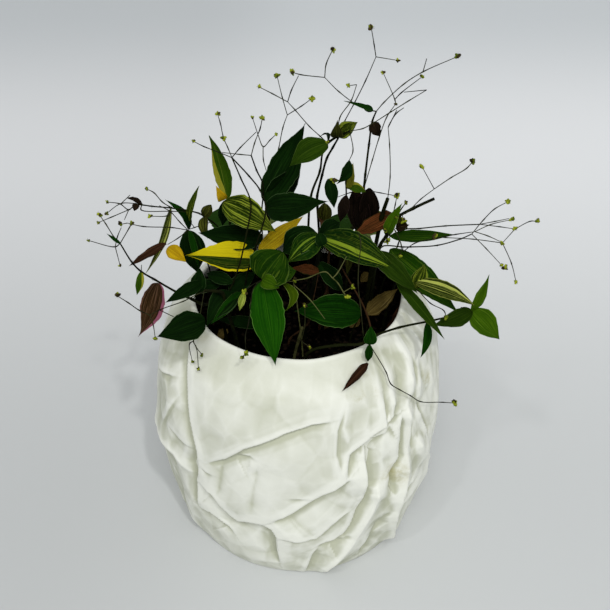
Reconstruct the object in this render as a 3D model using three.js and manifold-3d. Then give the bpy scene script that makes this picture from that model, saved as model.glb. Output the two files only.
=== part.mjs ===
// A small-leaf spiderwort with striped leaves, growing in a white crumpled-paper pot.
// Millimetres, +Z up. The origin is the middle of the pot's flat base, and the front is -Y.
import * as THREE from 'three';
import { mergeVertices } from 'three/addons/utils/BufferGeometryUtils.js';
import Module from 'manifold-3d';

const wasm = await Module();
wasm.setup();

// Pot
const POT_HEIGHT = 131.4;
const POT_BASE_RADIUS = 62;
const POT_BELLY_RADIUS = 70;
const POT_SHOULDER_RADIUS = 62.5;
const POT_MOUTH_RADIUS = 49.5;
const POT_WALL = 4;
const LIP_WIDTH = 2;
const FLOOR_THICKNESS = 7;
const POT_COLUMNS = 44;
const POT_ROWS = 13;

// Soil
const SOIL_TOP = 113;
const SOIL_GAP = 0.35;
const SOIL_COLUMNS = 18;
const ROOT_DEPTH = 15;
const HOLE_GAP = 0.4;

// Foliage
const BLADE_THICKNESS = 0.75;
const LEAF_CLASS = 22;
const BLADE_STATIONS = [[0.3, 0.75], [0.14, 0.42, 0.76], [0.12, 0.34, 0.6, 0.84]];
const PETIOLE_HALF_WIDTH = 0.5;
const BLADE_SKEW = 0.72;
const BLADE_FULLNESS = 0.75;
const TIP_NARROWING = 0.45;
const BLADE_FOLD = 0.2;
const BLADE_RIPPLE = 0.05;
const RIPPLE_WAVES = 1.5;
const STEM_SIDES = 4;
const THREAD_RADIUS = 0.45;
const THREAD_SIDES = 3;
const BUD_CROWN_RADIUS = 0.4;
const LEAF_SEAT_GAP = 0.35;
const SLIVER = 0.08;
const FRONT = new THREE.Vector3(0, -0.7, 0.7).normalize();

const COLOURS = {
  pot: { color: '#eceae2', roughness: 0.55 },
  soil: { color: '#1d1713', roughness: 0.95 },
  green: { color: '#2d5a24', roughness: 0.5 },
  yellow: { color: '#cfae1e', roughness: 0.5 },
  maroon: { color: '#4a1f2a', roughness: 0.5 },
  brown: { color: '#6a4426', roughness: 0.75 },
  tan: { color: '#b08d62', roughness: 0.85 },
};

// A seeded draw between 0 and 1, so that the plant is the same every time
function seededDraw(seed) {
  let state = seed;
  return () => {
    state = (state * 1664525 + 1013904223) % 4294967296;
    return state / 4294967296;
  };
}

// Solids

// A closed geometry as a solid that can be joined and cut
function solidFrom(geometry) {
  const bare = geometry.clone();
  bare.deleteAttribute('normal');
  bare.deleteAttribute('uv');
  const merged = mergeVertices(bare, 1e-4);
  const vertProperties = new Float32Array(merged.attributes.position.array);
  const triVerts = new Uint32Array(merged.index.array);
  return new wasm.Manifold(new wasm.Mesh({ numProp: 3, vertProperties, triVerts }));
}

function joined(solids) {
  return solids.reduce((whole, next) => whole.add(next));
}

// Keeps the one connected body and drops loose scraps
function largestBody(solid) {
  const bodies = solid.decompose();
  return bodies.reduce((best, body) => (body.volume() > best.volume() ? body : best));
}

function geometryFrom(solid) {
  const { vertProperties, triVerts } = solid.getMesh();
  const geometry = new THREE.BufferGeometry();
  geometry.setAttribute('position', new THREE.BufferAttribute(vertProperties, 3));
  geometry.setIndex(new THREE.BufferAttribute(triVerts, 1));
  geometry.computeVertexNormals();
  return geometry;
}

const plant = new THREE.Group();

function addPiece(name, geometry, colour) {
  const material = new THREE.MeshStandardMaterial({ ...COLOURS[colour], metalness: 0 });
  const mesh = new THREE.Mesh(geometry, material);
  mesh.name = name;
  plant.add(mesh);
}

// A closed surface from rings of points: the first and last rings are capped by one point each
function ringSolid(rings, bottom, top) {
  const columns = rings[0].length;
  const points = [bottom, ...rings.flat(), top];
  const at = (row, column) => 1 + row * columns + (column % columns);
  const faces = [];
  for (let column = 0; column < columns; column += 1) {
    faces.push(0, at(0, column + 1), at(0, column));
    for (let row = 0; row < rings.length - 1; row += 1) {
      faces.push(at(row, column), at(row, column + 1), at(row + 1, column + 1));
      faces.push(at(row, column), at(row + 1, column + 1), at(row + 1, column));
    }
    faces.push(at(rings.length - 1, column), at(rings.length - 1, column + 1), points.length - 1);
  }
  const geometry = new THREE.BufferGeometry().setFromPoints(points);
  geometry.setIndex(faces);
  return solidFrom(geometry);
}

// The pot: one cast shell whose outside is creased like crumpled paper

const POT_PROFILE = [
  [0, POT_BASE_RADIUS],
  [0.1, 66],
  [0.32, POT_BELLY_RADIUS],
  [0.62, POT_BELLY_RADIUS],
  [0.88, POT_SHOULDER_RADIUS],
  [1, POT_MOUTH_RADIUS],
];

// Outer radius at a height, through the profile's points in smooth cubic steps
function potRadius(z) {
  const share = Math.min(Math.max(z / POT_HEIGHT, 0), 1);
  const points = POT_PROFILE;
  let i = 0;
  while (i < points.length - 2 && share > points[i + 1][0]) i += 1;
  const slope = (k) => {
    const a = points[Math.max(k - 1, 0)];
    const b = points[Math.min(k + 1, points.length - 1)];
    return (b[1] - a[1]) / (b[0] - a[0]);
  };
  const [s0, r0] = points[i];
  const [s1, r1] = points[i + 1];
  const width = s1 - s0;
  const t = (share - s0) / width;
  const h10 = t * (1 - t) ** 2;
  const h11 = t * t * (t - 1);
  const h01 = t * t * (3 - 2 * t);
  return r0 * (1 - h01) + h10 * width * slope(i) + r1 * h01 + h11 * width * slope(i + 1);
}

// A crease runs through points of [degrees round from the front, height].
// A step stands proud on its left side and fades away over reach; a ridge fades on both sides.
const CREASES = [
  {
    form: 'ridge',
    rise: 2.6,
    reach: 9,
    path: [[-65, 121], [-53, 111], [-51, 97], [-43, 88], [-43, 62], [-31, 45], [-20, 44]],
  },
  { form: 'ridge', rise: 1.4, reach: 5, path: [[-71, 115], [-67, 103], [-72, 82], [-58, 90]] },
  {
    form: 'step',
    rise: 2.4,
    reach: 14,
    path: [[-39, 75], [-30, 84], [-20, 94], [-12, 99], [-5, 103], [3, 107], [17, 108]],
  },
  { form: 'step', rise: 1.2, reach: 7, path: [[-27, 85], [-21, 88], [-16, 86], [-15, 80], [-16, 67]] },
  { form: 'ridge', rise: -1.2, reach: 5, path: [[-39, 72], [-34, 66]] },
  { form: 'ridge', rise: -1.4, reach: 5, path: [[17, 108], [14, 96], [13, 82], [15, 76]] },
  { form: 'ridge', rise: 1, reach: 4, path: [[19, 103], [18, 98], [21, 93]] },
  {
    form: 'step',
    rise: 2.6,
    reach: 12,
    path: [[15, 75], [19, 86], [27, 93], [34, 98], [35, 107], [31, 119]],
  },
  { form: 'step', rise: 2.2, reach: 13, path: [[-11, 49], [-7, 52], [1, 57], [5, 63], [11, 69], [18, 75]] },
  { form: 'ridge', rise: 1.4, reach: 6, path: [[27, 92], [28, 84], [29, 62], [23, 48]] },
  { form: 'ridge', rise: -2.4, reach: 4, path: [[39, 116], [37, 101]] },
  { form: 'ridge', rise: -1.6, reach: 5, path: [[44, 100], [38, 96], [29, 91]] },
  { form: 'ridge', rise: 1.2, reach: 4, path: [[45, 98], [44, 74], [39, 58]] },
  { form: 'ridge', rise: 2, reach: 7, path: [[47, 99], [48, 64], [44, 40], [43, 20]] },
  { form: 'step', rise: 2.2, reach: 10, path: [[36, 70], [30, 56], [22, 32], [17, 21], [9, 7]] },
  { form: 'ridge', rise: 1.5, reach: 6, path: [[-24, 41], [-17, 45], [-10, 39], [-10, 27], [-8, 14]] },
  { form: 'ridge', rise: 1.2, reach: 5, path: [[-9, 37], [-1, 34], [6, 34]] },
  { form: 'ridge', rise: -1, reach: 5, path: [[6, 23], [4, 13]] },
  { form: 'ridge', rise: 1.6, reach: 5, path: [[46, 128], [36, 112]] },
  { form: 'ridge', rise: 1.6, reach: 4, path: [[57, 125], [46, 104]] },
  { form: 'ridge', rise: 1.8, reach: 4, path: [[67, 122], [55, 100]] },
  { form: 'ridge', rise: 1.8, reach: 5, path: [[56, 127], [58, 112], [68, 88]] },
];

// The sides and the back, where creases are drawn at random between these bounds
const HIDDEN_CREASES = 34;
const HIDDEN_FROM = 72;
const HIDDEN_TO = 286;

function hiddenCreases() {
  const draw = seededDraw(11);
  return Array.from({ length: HIDDEN_CREASES }, () => {
    let angle = HIDDEN_FROM + (HIDDEN_TO - HIDDEN_FROM) * draw();
    let z = 12 + 108 * draw();
    const heading = (draw() - 0.5) * Math.PI;
    const path = [[angle, z]];
    for (let i = 0; i < 3; i += 1) {
      const bend = heading + (draw() - 0.5) * 1.2;
      const length = 12 + 16 * draw();
      angle += (length * Math.cos(bend)) / 1.2;
      z += length * Math.sin(bend);
      path.push([angle, z]);
    }
    const form = draw() < 0.4 ? 'step' : 'ridge';
    const rise = (1 + 1.6 * draw()) * (form === 'ridge' && draw() < 0.35 ? -1 : 1);
    return { form, rise, reach: 4 + 9 * draw(), path };
  });
}

const MM_PER_DEGREE = (Math.PI / 180) * 68;
const STEP_RAMP = 1.2;

// How far one crease lifts the surface at a place, in millimetres
function creaseLift(crease, angle, z) {
  const corners = crease.path.map(([a, h]) => [a * MM_PER_DEGREE, h]);
  let nearest = Infinity;
  let side = 1;
  let travelled = 0;
  let along = 0;
  let total = 0;
  for (let i = 0; i < corners.length - 1; i += 1) {
    const dx = corners[i + 1][0] - corners[i][0];
    const dz = corners[i + 1][1] - corners[i][1];
    const length = Math.hypot(dx, dz);
    const px = angle * MM_PER_DEGREE - corners[i][0];
    const pz = z - corners[i][1];
    const t = Math.min(Math.max((px * dx + pz * dz) / length ** 2, 0), 1);
    const away = Math.hypot(px - t * dx, pz - t * dz);
    if (away < nearest) {
      nearest = away;
      side = Math.sign(dx * pz - dz * px) || 1;
      along = travelled + t * length;
    }
    travelled += length;
    total = travelled;
  }
  const taper = Math.min(1, (along + 2) / 10, (total - along + 2) / 10);
  if (crease.form === 'ridge') return crease.rise * taper * Math.exp(-nearest / crease.reach);
  const signed = side * nearest;
  const ramp = Math.min(Math.max(signed / STEP_RAMP + 0.5, 0), 1);
  return crease.rise * taper * ramp * Math.exp(-Math.max(signed, 0) / crease.reach);
}

const allCreases = [...CREASES, ...hiddenCreases()];

// The relief of the outside: creases and broad dents, fading out at the lip
function relief(angle, z) {
  const turn = angle * (Math.PI / 180);
  const dents = 0.8 * Math.sin(5 * turn + 0.06 * z + 1.3) * Math.cos(0.09 * z + 2 * turn)
    + 0.5 * Math.sin(9 * turn - 0.11 * z);
  const lifts = allCreases.map((crease) => Math.max(
    creaseLift(crease, angle, z),
    creaseLift(crease, angle + 360, z),
  ));
  const lowest = allCreases.map((crease) => Math.min(
    creaseLift(crease, angle, z),
    creaseLift(crease, angle + 360, z),
  ));
  const sum = lifts.reduce((a, b) => a + Math.max(b, 0), 0) + lowest.reduce((a, b) => a + Math.min(b, 0), 0);
  const fade = Math.min(1, (POT_HEIGHT - z) / 14);
  return fade * (dents + sum - 0.8);
}

function around(radius, degrees, z) {
  const turn = degrees * (Math.PI / 180);
  return new THREE.Vector3(radius * Math.sin(turn), -radius * Math.cos(turn), z);
}

function potRing(radiusAt, z, columns) {
  return Array.from({ length: columns }, (unused, column) => {
    const degrees = (360 * column) / columns - (column > columns / 2 ? 360 : 0);
    return around(radiusAt(degrees), degrees, z);
  });
}

function innerRadius(z) {
  return potRadius(z) - POT_WALL;
}

function potSolid() {
  const rings = [potRing(() => POT_BASE_RADIUS - 3, 0, POT_COLUMNS)];
  for (let row = 0; row <= POT_ROWS; row += 1) {
    const z = 2.5 + (POT_HEIGHT - 3.5) * (row / POT_ROWS);
    rings.push(potRing((degrees) => potRadius(z) + relief(degrees, z), z, POT_COLUMNS));
  }
  rings.push(potRing(() => POT_MOUTH_RADIUS - LIP_WIDTH * 0.45, POT_HEIGHT, POT_COLUMNS));
  rings.push(potRing(() => POT_MOUTH_RADIUS - LIP_WIDTH, POT_HEIGHT - 0.8, POT_COLUMNS));
  for (const z of [118, 90, 45, FLOOR_THICKNESS]) {
    rings.push(potRing(() => innerRadius(z), z, POT_COLUMNS));
  }
  return ringSolid(rings, new THREE.Vector3(0, 0, 0), new THREE.Vector3(0, 0, FLOOR_THICKNESS));
}

// Foliage: blades, stems, flower threads and buds. Each shoot is a list of such parts,
// with its points read from the plant: [right, back, up] in millimetres.

const roots = [];

// A smooth curve that is sampled at its own corners, so that parts meet exactly there
class StemCurve extends THREE.CatmullRomCurve3 {
  getPointAt(share, target) {
    return this.getPoint(share, target);
  }

  getTangentAt(share, target) {
    return this.getTangent(share, target);
  }
}

// A tube along a smooth curve through the points, with its own radius at each point
function tube(points, radii, sides) {
  const curve = new StemCurve(points.map((p) => new THREE.Vector3(...p)), false, 'centripetal');
  const section = new THREE.Shape();
  for (let i = 0; i < sides; i += 1) {
    const turn = (2 * Math.PI * i) / sides;
    const corner = [THREAD_RADIUS * Math.cos(turn), THREAD_RADIUS * Math.sin(turn)];
    if (i === 0) section.moveTo(...corner);
    else section.lineTo(...corner);
  }
  section.closePath();
  const steps = points.length - 1;
  const geometry = new THREE.ExtrudeGeometry(section, { steps, extrudePath: curve, bevelEnabled: false });
  const centres = curve.getSpacedPoints(steps);
  const place = geometry.attributes.position;
  const corner = new THREE.Vector3();
  for (let i = 0; i < place.count; i += 1) {
    corner.fromBufferAttribute(place, i);
    const distances = centres.map((centre) => centre.distanceTo(corner));
    const ring = distances.indexOf(Math.min(...distances));
    corner.sub(centres[ring]).multiplyScalar(radii[ring] / THREAD_RADIUS).add(centres[ring]);
    place.setXYZ(i, corner.x, corner.y, corner.z);
  }
  return solidFrom(geometry);
}

// Radii that run evenly from the first point to the last
function taper(points, first, last) {
  return points.map((point, i) => first + ((last - first) * i) / (points.length - 1));
}

function stem(points, rootRadius, endRadius) {
  const radii = taper(points, rootRadius, endRadius);
  return { tube: { points, radii }, solid: tube(points, radii, STEM_SIDES) };
}

// A stem that stands in its own hole in the soil
function rooted(points, rootRadius, endRadius) {
  const [x, y] = points[0];
  roots.push({ x, y, radius: rootRadius });
  const path = [[x, y, SOIL_TOP - ROOT_DEPTH], ...points];
  const radii = [rootRadius, ...taper(points, rootRadius, endRadius)];
  return { tube: { points: path, radii }, solid: tube(path, radii, STEM_SIDES) };
}

// A flower thread. With a bud, its last point is the middle of the bud.
function thread(points, budSize = 0) {
  if (budSize === 0) return { solid: tube(points, points.map(() => THREAD_RADIUS), THREAD_SIDES) };
  const [before, middle] = points.slice(-2).map((p) => new THREE.Vector3(...p));
  const step = middle.clone().sub(before);
  const half = step.clone().setLength(Math.min(budSize / 2, 0.8 * step.length()));
  const foot = middle.clone().sub(half);
  const crown = middle.clone().add(half);
  const path = [...points.slice(0, -1), foot.toArray(), middle.toArray(), crown.toArray()];
  const radii = [...points.map(() => THREAD_RADIUS), budSize / 2, BUD_CROWN_RADIUS];
  return { solid: tube(path, radii, THREAD_SIDES + 1) };
}

function bud(point, size) {
  const geometry = new THREE.OctahedronGeometry(size / 2);
  geometry.rotateZ(0.4);
  geometry.translate(...point);
  return { solid: solidFrom(geometry) };
}

// A thin blade from its stalk to its pointed tip. It bows by arch towards its upper face,
// which looks to the front and up and is turned about the midrib by turn degrees, and it
// curves by sweep towards the left of its own direction.
function leaf(from, to, width, arch, turn, sweep = 0) {
  const start = new THREE.Vector3(...from);
  const axis = new THREE.Vector3(...to).sub(start);
  const length = axis.length();
  const side = new THREE.Vector3().crossVectors(FRONT, axis).normalize();
  side.applyAxisAngle(axis.clone().normalize(), turn * (Math.PI / 180));
  const up = new THREE.Vector3().crossVectors(axis, side).normalize();
  const phase = from[0] * 0.7 + to[2] * 0.3;
  const point = (u, v, level) => {
    const fullness = BLADE_FULLNESS + TIP_NARROWING * u;
    const bulge = Math.sin(Math.PI * u ** BLADE_SKEW) ** fullness;
    const half = Math.max(PETIOLE_HALF_WIDTH * (1 - u), (width / 2) * bulge);
    const fold = BLADE_FOLD * half * v * v;
    const ripple = BLADE_RIPPLE * width * Math.sin(2 * Math.PI * RIPPLE_WAVES * u + phase + 0.8 * v) * v * v;
    const lift = arch * 4 * u * (1 - u) + fold + ripple + level * (BLADE_THICKNESS / 2);
    const across = half * v + sweep * 4 * u * (1 - u);
    return start.clone().addScaledVector(axis, u).addScaledVector(side, across).addScaledVector(up, lift);
  };
  const stations = BLADE_STATIONS[Math.min(2, Math.floor(length / LEAF_CLASS))];
  const rows = [[point(0, -1, 1), point(0, 0, 1), point(0, 1, 1)]];
  const under = [[point(0, -1, -1), point(0, 0, -1), point(0, 1, -1)]];
  for (const u of stations) {
    rows.push([-1, 0, 1].map((v) => point(u, v, 1)));
    under.push([-1, 0, 1].map((v) => point(u, v, -1)));
  }
  const points = [...rows.flat(), ...under.flat(), point(1, 0, 1), point(1, 0, -1)];
  const count = rows.length;
  const upper = (i, j) => i * 3 + j;
  const lower = (i, j) => (count + i) * 3 + j;
  const tipUpper = 6 * count;
  const tipLower = tipUpper + 1;
  const faces = [];
  for (let i = 0; i < count - 1; i += 1) {
    for (let j = 0; j < 2; j += 1) {
      const [a, b, c, d] = [[i, j], [i + 1, j], [i + 1, j + 1], [i, j + 1]];
      faces.push(upper(...a), upper(...b), upper(...c), upper(...a), upper(...c), upper(...d));
      faces.push(lower(...a), lower(...c), lower(...b), lower(...a), lower(...d), lower(...c));
    }
    faces.push(upper(i, 0), lower(i, 0), lower(i + 1, 0), upper(i, 0), lower(i + 1, 0), upper(i + 1, 0));
    faces.push(upper(i, 2), lower(i + 1, 2), lower(i, 2), upper(i, 2), upper(i + 1, 2), lower(i + 1, 2));
  }
  const last = count - 1;
  for (let j = 0; j < 2; j += 1) {
    faces.push(upper(last, j), tipUpper, upper(last, j + 1));
    faces.push(lower(last, j), lower(last, j + 1), tipLower);
    faces.push(upper(0, j), upper(0, j + 1), lower(0, j + 1), upper(0, j), lower(0, j + 1), lower(0, j));
  }
  faces.push(upper(last, 0), lower(last, 0), tipLower, upper(last, 0), tipLower, tipUpper);
  faces.push(upper(last, 2), tipLower, lower(last, 2), upper(last, 2), tipUpper, tipLower);
  const geometry = new THREE.BufferGeometry().setFromPoints(points);
  geometry.setIndex(faces);
  return { solid: solidFrom(geometry) };
}

const tubes = [];

function shoot(name, parts, colour = 'green') {
  tubes.push(...parts.filter((part) => part.tube).map((part) => part.tube));
  const solid = largestBody(joined(parts.map((part) => part.solid)).simplify(SLIVER));
  addPiece(name, geometryFrom(solid), colour);
}

// A leaf of another colour is a piece of its own, and its foot is cut clear of the stems
function looseLeaf(name, colour, blades) {
  const clearances = tubes.map(({ points, radii }) => {
    const wider = radii.map((radius) => radius + LEAF_SEAT_GAP);
    return tube(points, wider, STEM_SIDES + 3);
  });
  const solid = joined(blades.map((blade) => blade.solid)).subtract(joined(clearances));
  addPiece(name, geometryFrom(largestBody(solid)), colour);
}

// The tallest stem, right of the middle, with two long flower threads
shoot('shoot_tall_right', [
  rooted([[22, 12, 116], [29, 14, 176], [29.5, 15, 183], [30.5, 16, 197], [31.5, 17, 207.5],
    [33, 18, 211.5]], 0.6, 0.45),
  thread([[33, 18, 211.5], [36, 18, 215.5], [43.5, 16, 224.5], [50.5, 14, 230.5], [63, 10, 238.5]], 3),
  thread([[50.5, 14, 230.5], [51.5, 14, 236]]),
  thread([[33, 18, 211.5], [31.5, 17.5, 212], [26, 16, 214.5], [17, 14, 222], [11, 12, 229]]),
  thread([[11, 12, 229], [11.5, 12, 234.5], [14, 12, 240.5]], 3),
  thread([[11, 12, 229], [1.5, 10, 231], [-2, 10, 232]], 3),
  leaf([31.5, 17.5, 212], [19, 14, 218], 2.5, 1.5, 20),
  leaf([31.5, 17.5, 212], [26.5, 19, 214], 3, -2, -20),
  thread([[29, 14, 176], [32.5, 18, 188.5], [35, 20, 198], [38, 22, 207], [41.5, 23, 212.5]], 1.6),
  thread([[41.5, 23, 212.5], [41, 23, 214.5], [35.5, 24, 226]], 2.2),
  thread([[41, 23, 214.5], [43.5, 23, 217.5], [51.5, 22, 225]], 2.2),
  thread([[29, 14, 176], [36.5, 13, 175], [43.5, 12, 174]], 3),
  thread([[29, 14, 176], [23, 14, 174.5], [17, 14, 172]]),
]);

// Two stems behind the middle that meet at a leafy knot under the highest sprays
shoot('shoot_tall_middle', [
  rooted([[5, 4, 116], [5.5, 6, 176.5], [9.5, 7, 189.5], [10.5, 8, 197.5], [12.5, 8, 202]], 0.6, 0.45),
  rooted([[12, 13, 116], [8.5, 12, 171], [8.5, 12, 174], [10.5, 12.5, 184], [12.5, 12.5, 192.5],
    [15, 12, 198], [17, 10, 204], [12.5, 8, 202]], 0.6, 0.5),
  stem([[12.5, 8, 202], [16.5, 9, 204.5], [21.5, 7, 208]], 0.6, 0.5),
  thread([[21.5, 7, 208], [26.5, 5, 210], [30, 4, 212.5], [37, 3, 218], [44, 2, 223.5],
    [50.5, 0, 229]]),
  thread([[50.5, 0, 229], [41.5, -2, 229]]),
  bud([12.5, 8, 202], 2.6),
  leaf([17, 10, 204], [25, 12, 209.5], 6, 2, 20),
  leaf([17, 10, 204], [16.5, 8, 212.5], 5.5, 3, -15),
  leaf([12.5, 8, 202], [-3.5, 2, 194], 10, 2, 0),
  leaf([12.5, 8, 202], [9, 10, 203.5], 4, 3, 60),
  thread([[12.5, 8, 202], [9.5, 10, 204], [5, 11, 208], [-1, 12, 215], [-4, 12, 218.5]]),
  thread([[-4, 12, 218.5], [-10, 12, 222], [-15.5, 12, 225]], 2.2),
  thread([[-4, 12, 218.5], [-2.5, 14, 222.5], [0.5, 15, 228.5]]),
  thread([[17, 10, 204], [19.5, 14, 208.5], [23.5, 16, 216], [28, 20, 224], [32, 22, 233.5]]),
  thread([[32, 22, 233.5], [31, 22, 238.5], [29.5, 22, 245.5]], 3.2),
  thread([[32, 22, 233.5], [41, 22, 232]], 2),
  thread([[17, 10, 204], [17.5, 12, 211.5], [22, 13, 218.5], [24, 13, 225.5]]),
  thread([[24, 13, 225.5], [20.5, 12, 225.5]], 2),
  thread([[21.5, 7, 208], [23, 4, 200.5], [21.5, 3, 196.5]]),
  stem([[21.5, 3, 196.5], [20.5, 3, 189.5], [21, 6, 178]], 0.5, 0.5),
  leaf([21.5, 3, 196.5], [16.5, 0, 187], 5.5, 2, -40),
  thread([[20.5, 3, 189.5], [18, 1, 188], [15.5, 1, 189], [15, 0, 189]], 3.6),
  leaf([13, 1, 187.5], [15.5, -4, 177.5], 4.5, 2, 10, 1),
  leaf([12, 10, 171.5], [11.5, 8, 162], 6.5, 2, 0),
  leaf([21, 6, 178], [18.5, 3, 166], 5, 2, 0),
  thread([[15.5, 1, 189], [13, 1, 187.5]]),
  thread([[8.5, 12, 171], [12, 10, 171.5]]),
]);

// The big dark leaves that stand up left of the middle, and their flower thread
shoot('shoot_upright_leaves', [
  rooted([[-14, 14, 116], [-13.5, 14, 163], [-14.5, 14, 170]], 0.7, 0.6),
  leaf([-14.5, 14, 170], [3, 22, 203.5], 14.5, -4, -12),
  leaf([-14, 17, 168], [1.5, 26, 182.5], 11.5, 3, 25),
  leaf([-14, 9, 169.5], [13, -3, 180.5], 11, 2, 0),
  thread([[-14.5, 14, 170], [-14, 17, 168], [-12, 22, 177.5], [-8.5, 24, 191], [-6.5, 25, 200.5],
    [-4.5, 25, 206.5]]),
  thread([[-4.5, 25, 206.5], [-6.5, 25, 214.5], [-8.5, 24, 224.5]], 2.8),
  thread([[-4.5, 25, 206.5], [1.5, 24, 211], [6, 24, 214.5]], 3),
  thread([[-14.5, 14, 170], [-14, 9, 169.5]]),
]);

// Two bare stems that cross and end in one open spray
shoot('shoot_left_sprays', [
  rooted([[-20, -16, 116], [-22.5, -21, 149.5], [-17, -21, 170.5], [-13, -14, 183],
    [-15.5, -6, 187.5], [-20, -3, 192.5], [-27, 0, 199.5]], 0.5, 0.4),
  rooted([[-29, -18, 116], [-29.5, -22, 146.5], [-27.5, -22.5, 152], [-24, -23, 163],
    [-21, -18, 174.5], [-19.5, -8, 183], [-23.5, -3, 191.5], [-27, 0, 199.5]], 0.5, 0.4),
  thread([[-27, 0, 199.5], [-23.5, 2, 203], [-17, 6, 208]]),
  thread([[-27, 0, 199.5], [-32.5, 1, 201.5], [-38, 0, 204.5], [-42, -2, 208]], 2),
  thread([[-27, 0, 199.5], [-28.5, 1, 203.5], [-30, 1, 208], [-31, 2, 214], [-32, 3, 217.5]], 2.4),
  bud([-30, 1, 208], 2.6),
  leaf([-29.5, -22, 146.5], [-18, -14, 151.5], 7.5, 2, 0),
  leaf([-27.5, -22.5, 152], [-40, -14, 150.5], 5.5, 2, 0),
]);

// A thin stem with a branching spray and one dark leaf behind the yellow one
shoot('shoot_left_middle', [
  rooted([[-12, -4, 116], [-17, -7.5, 155], [-15.5, -5, 163], [-15.5, -4, 174], [-14.5, -2, 188],
    [-17, 0, 193.5], [-19, 0, 200.5]], 0.5, 0.4),
  thread([[-19, 0, 200.5], [-23.5, -1, 201.5], [-30.5, -4, 204]]),
  thread([[-19, 0, 200.5], [-17.5, 1, 205.5], [-16, 1, 209.5]]),
  thread([[-16, 1, 209.5], [-18, 2, 216.5]], 1.8),
  thread([[-16, 1, 209.5], [-15, 1, 212], [-14, 1, 216.5]], 2.6),
  thread([[-16, 1, 209.5], [-14, 0, 204.5], [-11, -2, 208.5], [-8.5, -3, 211.5]], 1.8),
  thread([[-14, 0, 204.5], [-14, -1, 199], [-13, -1, 194]]),
  leaf([-15.5, -5, 163], [-42, -8, 167], 6.5, 1, 0),
]);

// A straight stem with the striped leaves left of the middle
shoot('shoot_upright_striped', [
  rooted([[-26, 2, 116], [-29.5, -2, 154.5], [-29.5, -1, 168.5], [-30, 0, 179.5]], 0.6, 0.5),
  leaf([-30, 0, 179.5], [-36.5, 6, 206.5], 7.5, -3, -20, -1),
  leaf([-31.5, -3, 180], [-9, -13, 171.5], 13, 3, 0),
  leaf([-30, 0, 179.5], [-33, 0, 166], 5.5, 1, 0),
  thread([[-30, 0, 179.5], [-31.5, -3, 180]]),
]);

// A long stem that arches far out to the left, with sprays and narrow leaves
shoot('shoot_left_long', [
  rooted([[-34, 8, 116], [-34, 4, 160], [-37.5, 2, 167], [-40.5, 0.5, 170.5], [-42.5, 0, 172.5],
    [-49, -1, 175], [-50.5, -1.5, 175.5], [-54, -2, 176.5], [-62, -3, 178], [-66, -3.5, 179],
    [-67.5, -4, 179.5], [-68.5, -4, 180]], 0.5, 0.35),
  thread([[-68.5, -4, 180], [-71.5, -5, 177.5], [-74.5, -6, 181], [-79.5, -7, 182.5]], 1.8),
  thread([[-71.5, -5, 177.5], [-79, -6, 174.5], [-84.5, -8, 173]], 1.8),
  thread([[-71.5, -5, 177.5], [-74, -5, 172.5]]),
  thread([[-68.5, -4, 180], [-74.5, -4, 180], [-81.5, -4, 175]], 2.2),
  thread([[-74.5, -4, 180], [-70.5, -3, 183.5]]),
  leaf([-66, -3.5, 179], [-72.5, -2, 181.5], 2.5, 1, 30),
  leaf([-67.5, -4, 179.5], [-69, -6, 177.5], 3, 1, 0),
  thread([[-50.5, -1.5, 175.5], [-55, 2, 174.5], [-58.5, 3, 176.5], [-61.5, 3, 181],
    [-64.5, 3, 183]], 2.2),
  thread([[-66, -3.5, 179], [-66, -6, 178], [-54, -3, 175.5], [-48, -2, 174.5]]),
  leaf([-48, 2, 163], [-58.5, 0, 182], 3.5, 4, 40),
  leaf([-47, 0, 168.5], [-41, -3, 188], 4.5, 1.5, -30),
  leaf([-54, -2, 176.5], [-67, -10, 148], 4.5, -1.5, 50),
  thread([[-54, -3, 175.5], [-55.5, -4, 174], [-62.5, -7, 175.5]], 2.4),
  leaf([-40.5, 0.5, 170.5], [-37.5, 4, 174.5], 5, 1, 0),
  leaf([-40.5, 0.5, 170.5], [-39, -6, 163.5], 5, 2, 20),
  thread([[-37.5, 2, 167], [-45.5, 2, 164], [-48, 2, 163]]),
  thread([[-45.5, 2, 164], [-47, 0, 168.5]]),
]);

// A forked stem on the left with a hanging dark leaf
shoot('shoot_left_fork', [
  rooted([[-37, -3, 116], [-41, -6, 156.5], [-44, -6, 165], [-47, -7, 168.5]], 0.5, 0.4),
  thread([[-47, -7, 168.5], [-53.5, -8, 170.5], [-65, -11, 173], [-71, -13, 176]]),
  thread([[-71, -13, 176], [-73.5, -14, 176]], 2.8),
  thread([[-47, -7, 168.5], [-50, -7, 172.5], [-53.5, -8, 178.5], [-57.5, -9, 182]]),
  leaf([-47, -7, 168.5], [-44, -12, 149.5], 11, 1.5, -10),
  thread([[-47, -7, 168.5], [-51, -10, 166.5], [-55.5, -12, 164.5]]),
  leaf([-46, -9, 169.5], [-42.5, -16, 155], 3.5, 1, -10),
  thread([[-47, -7, 168.5], [-46, -9, 169.5]]),
]);

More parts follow.
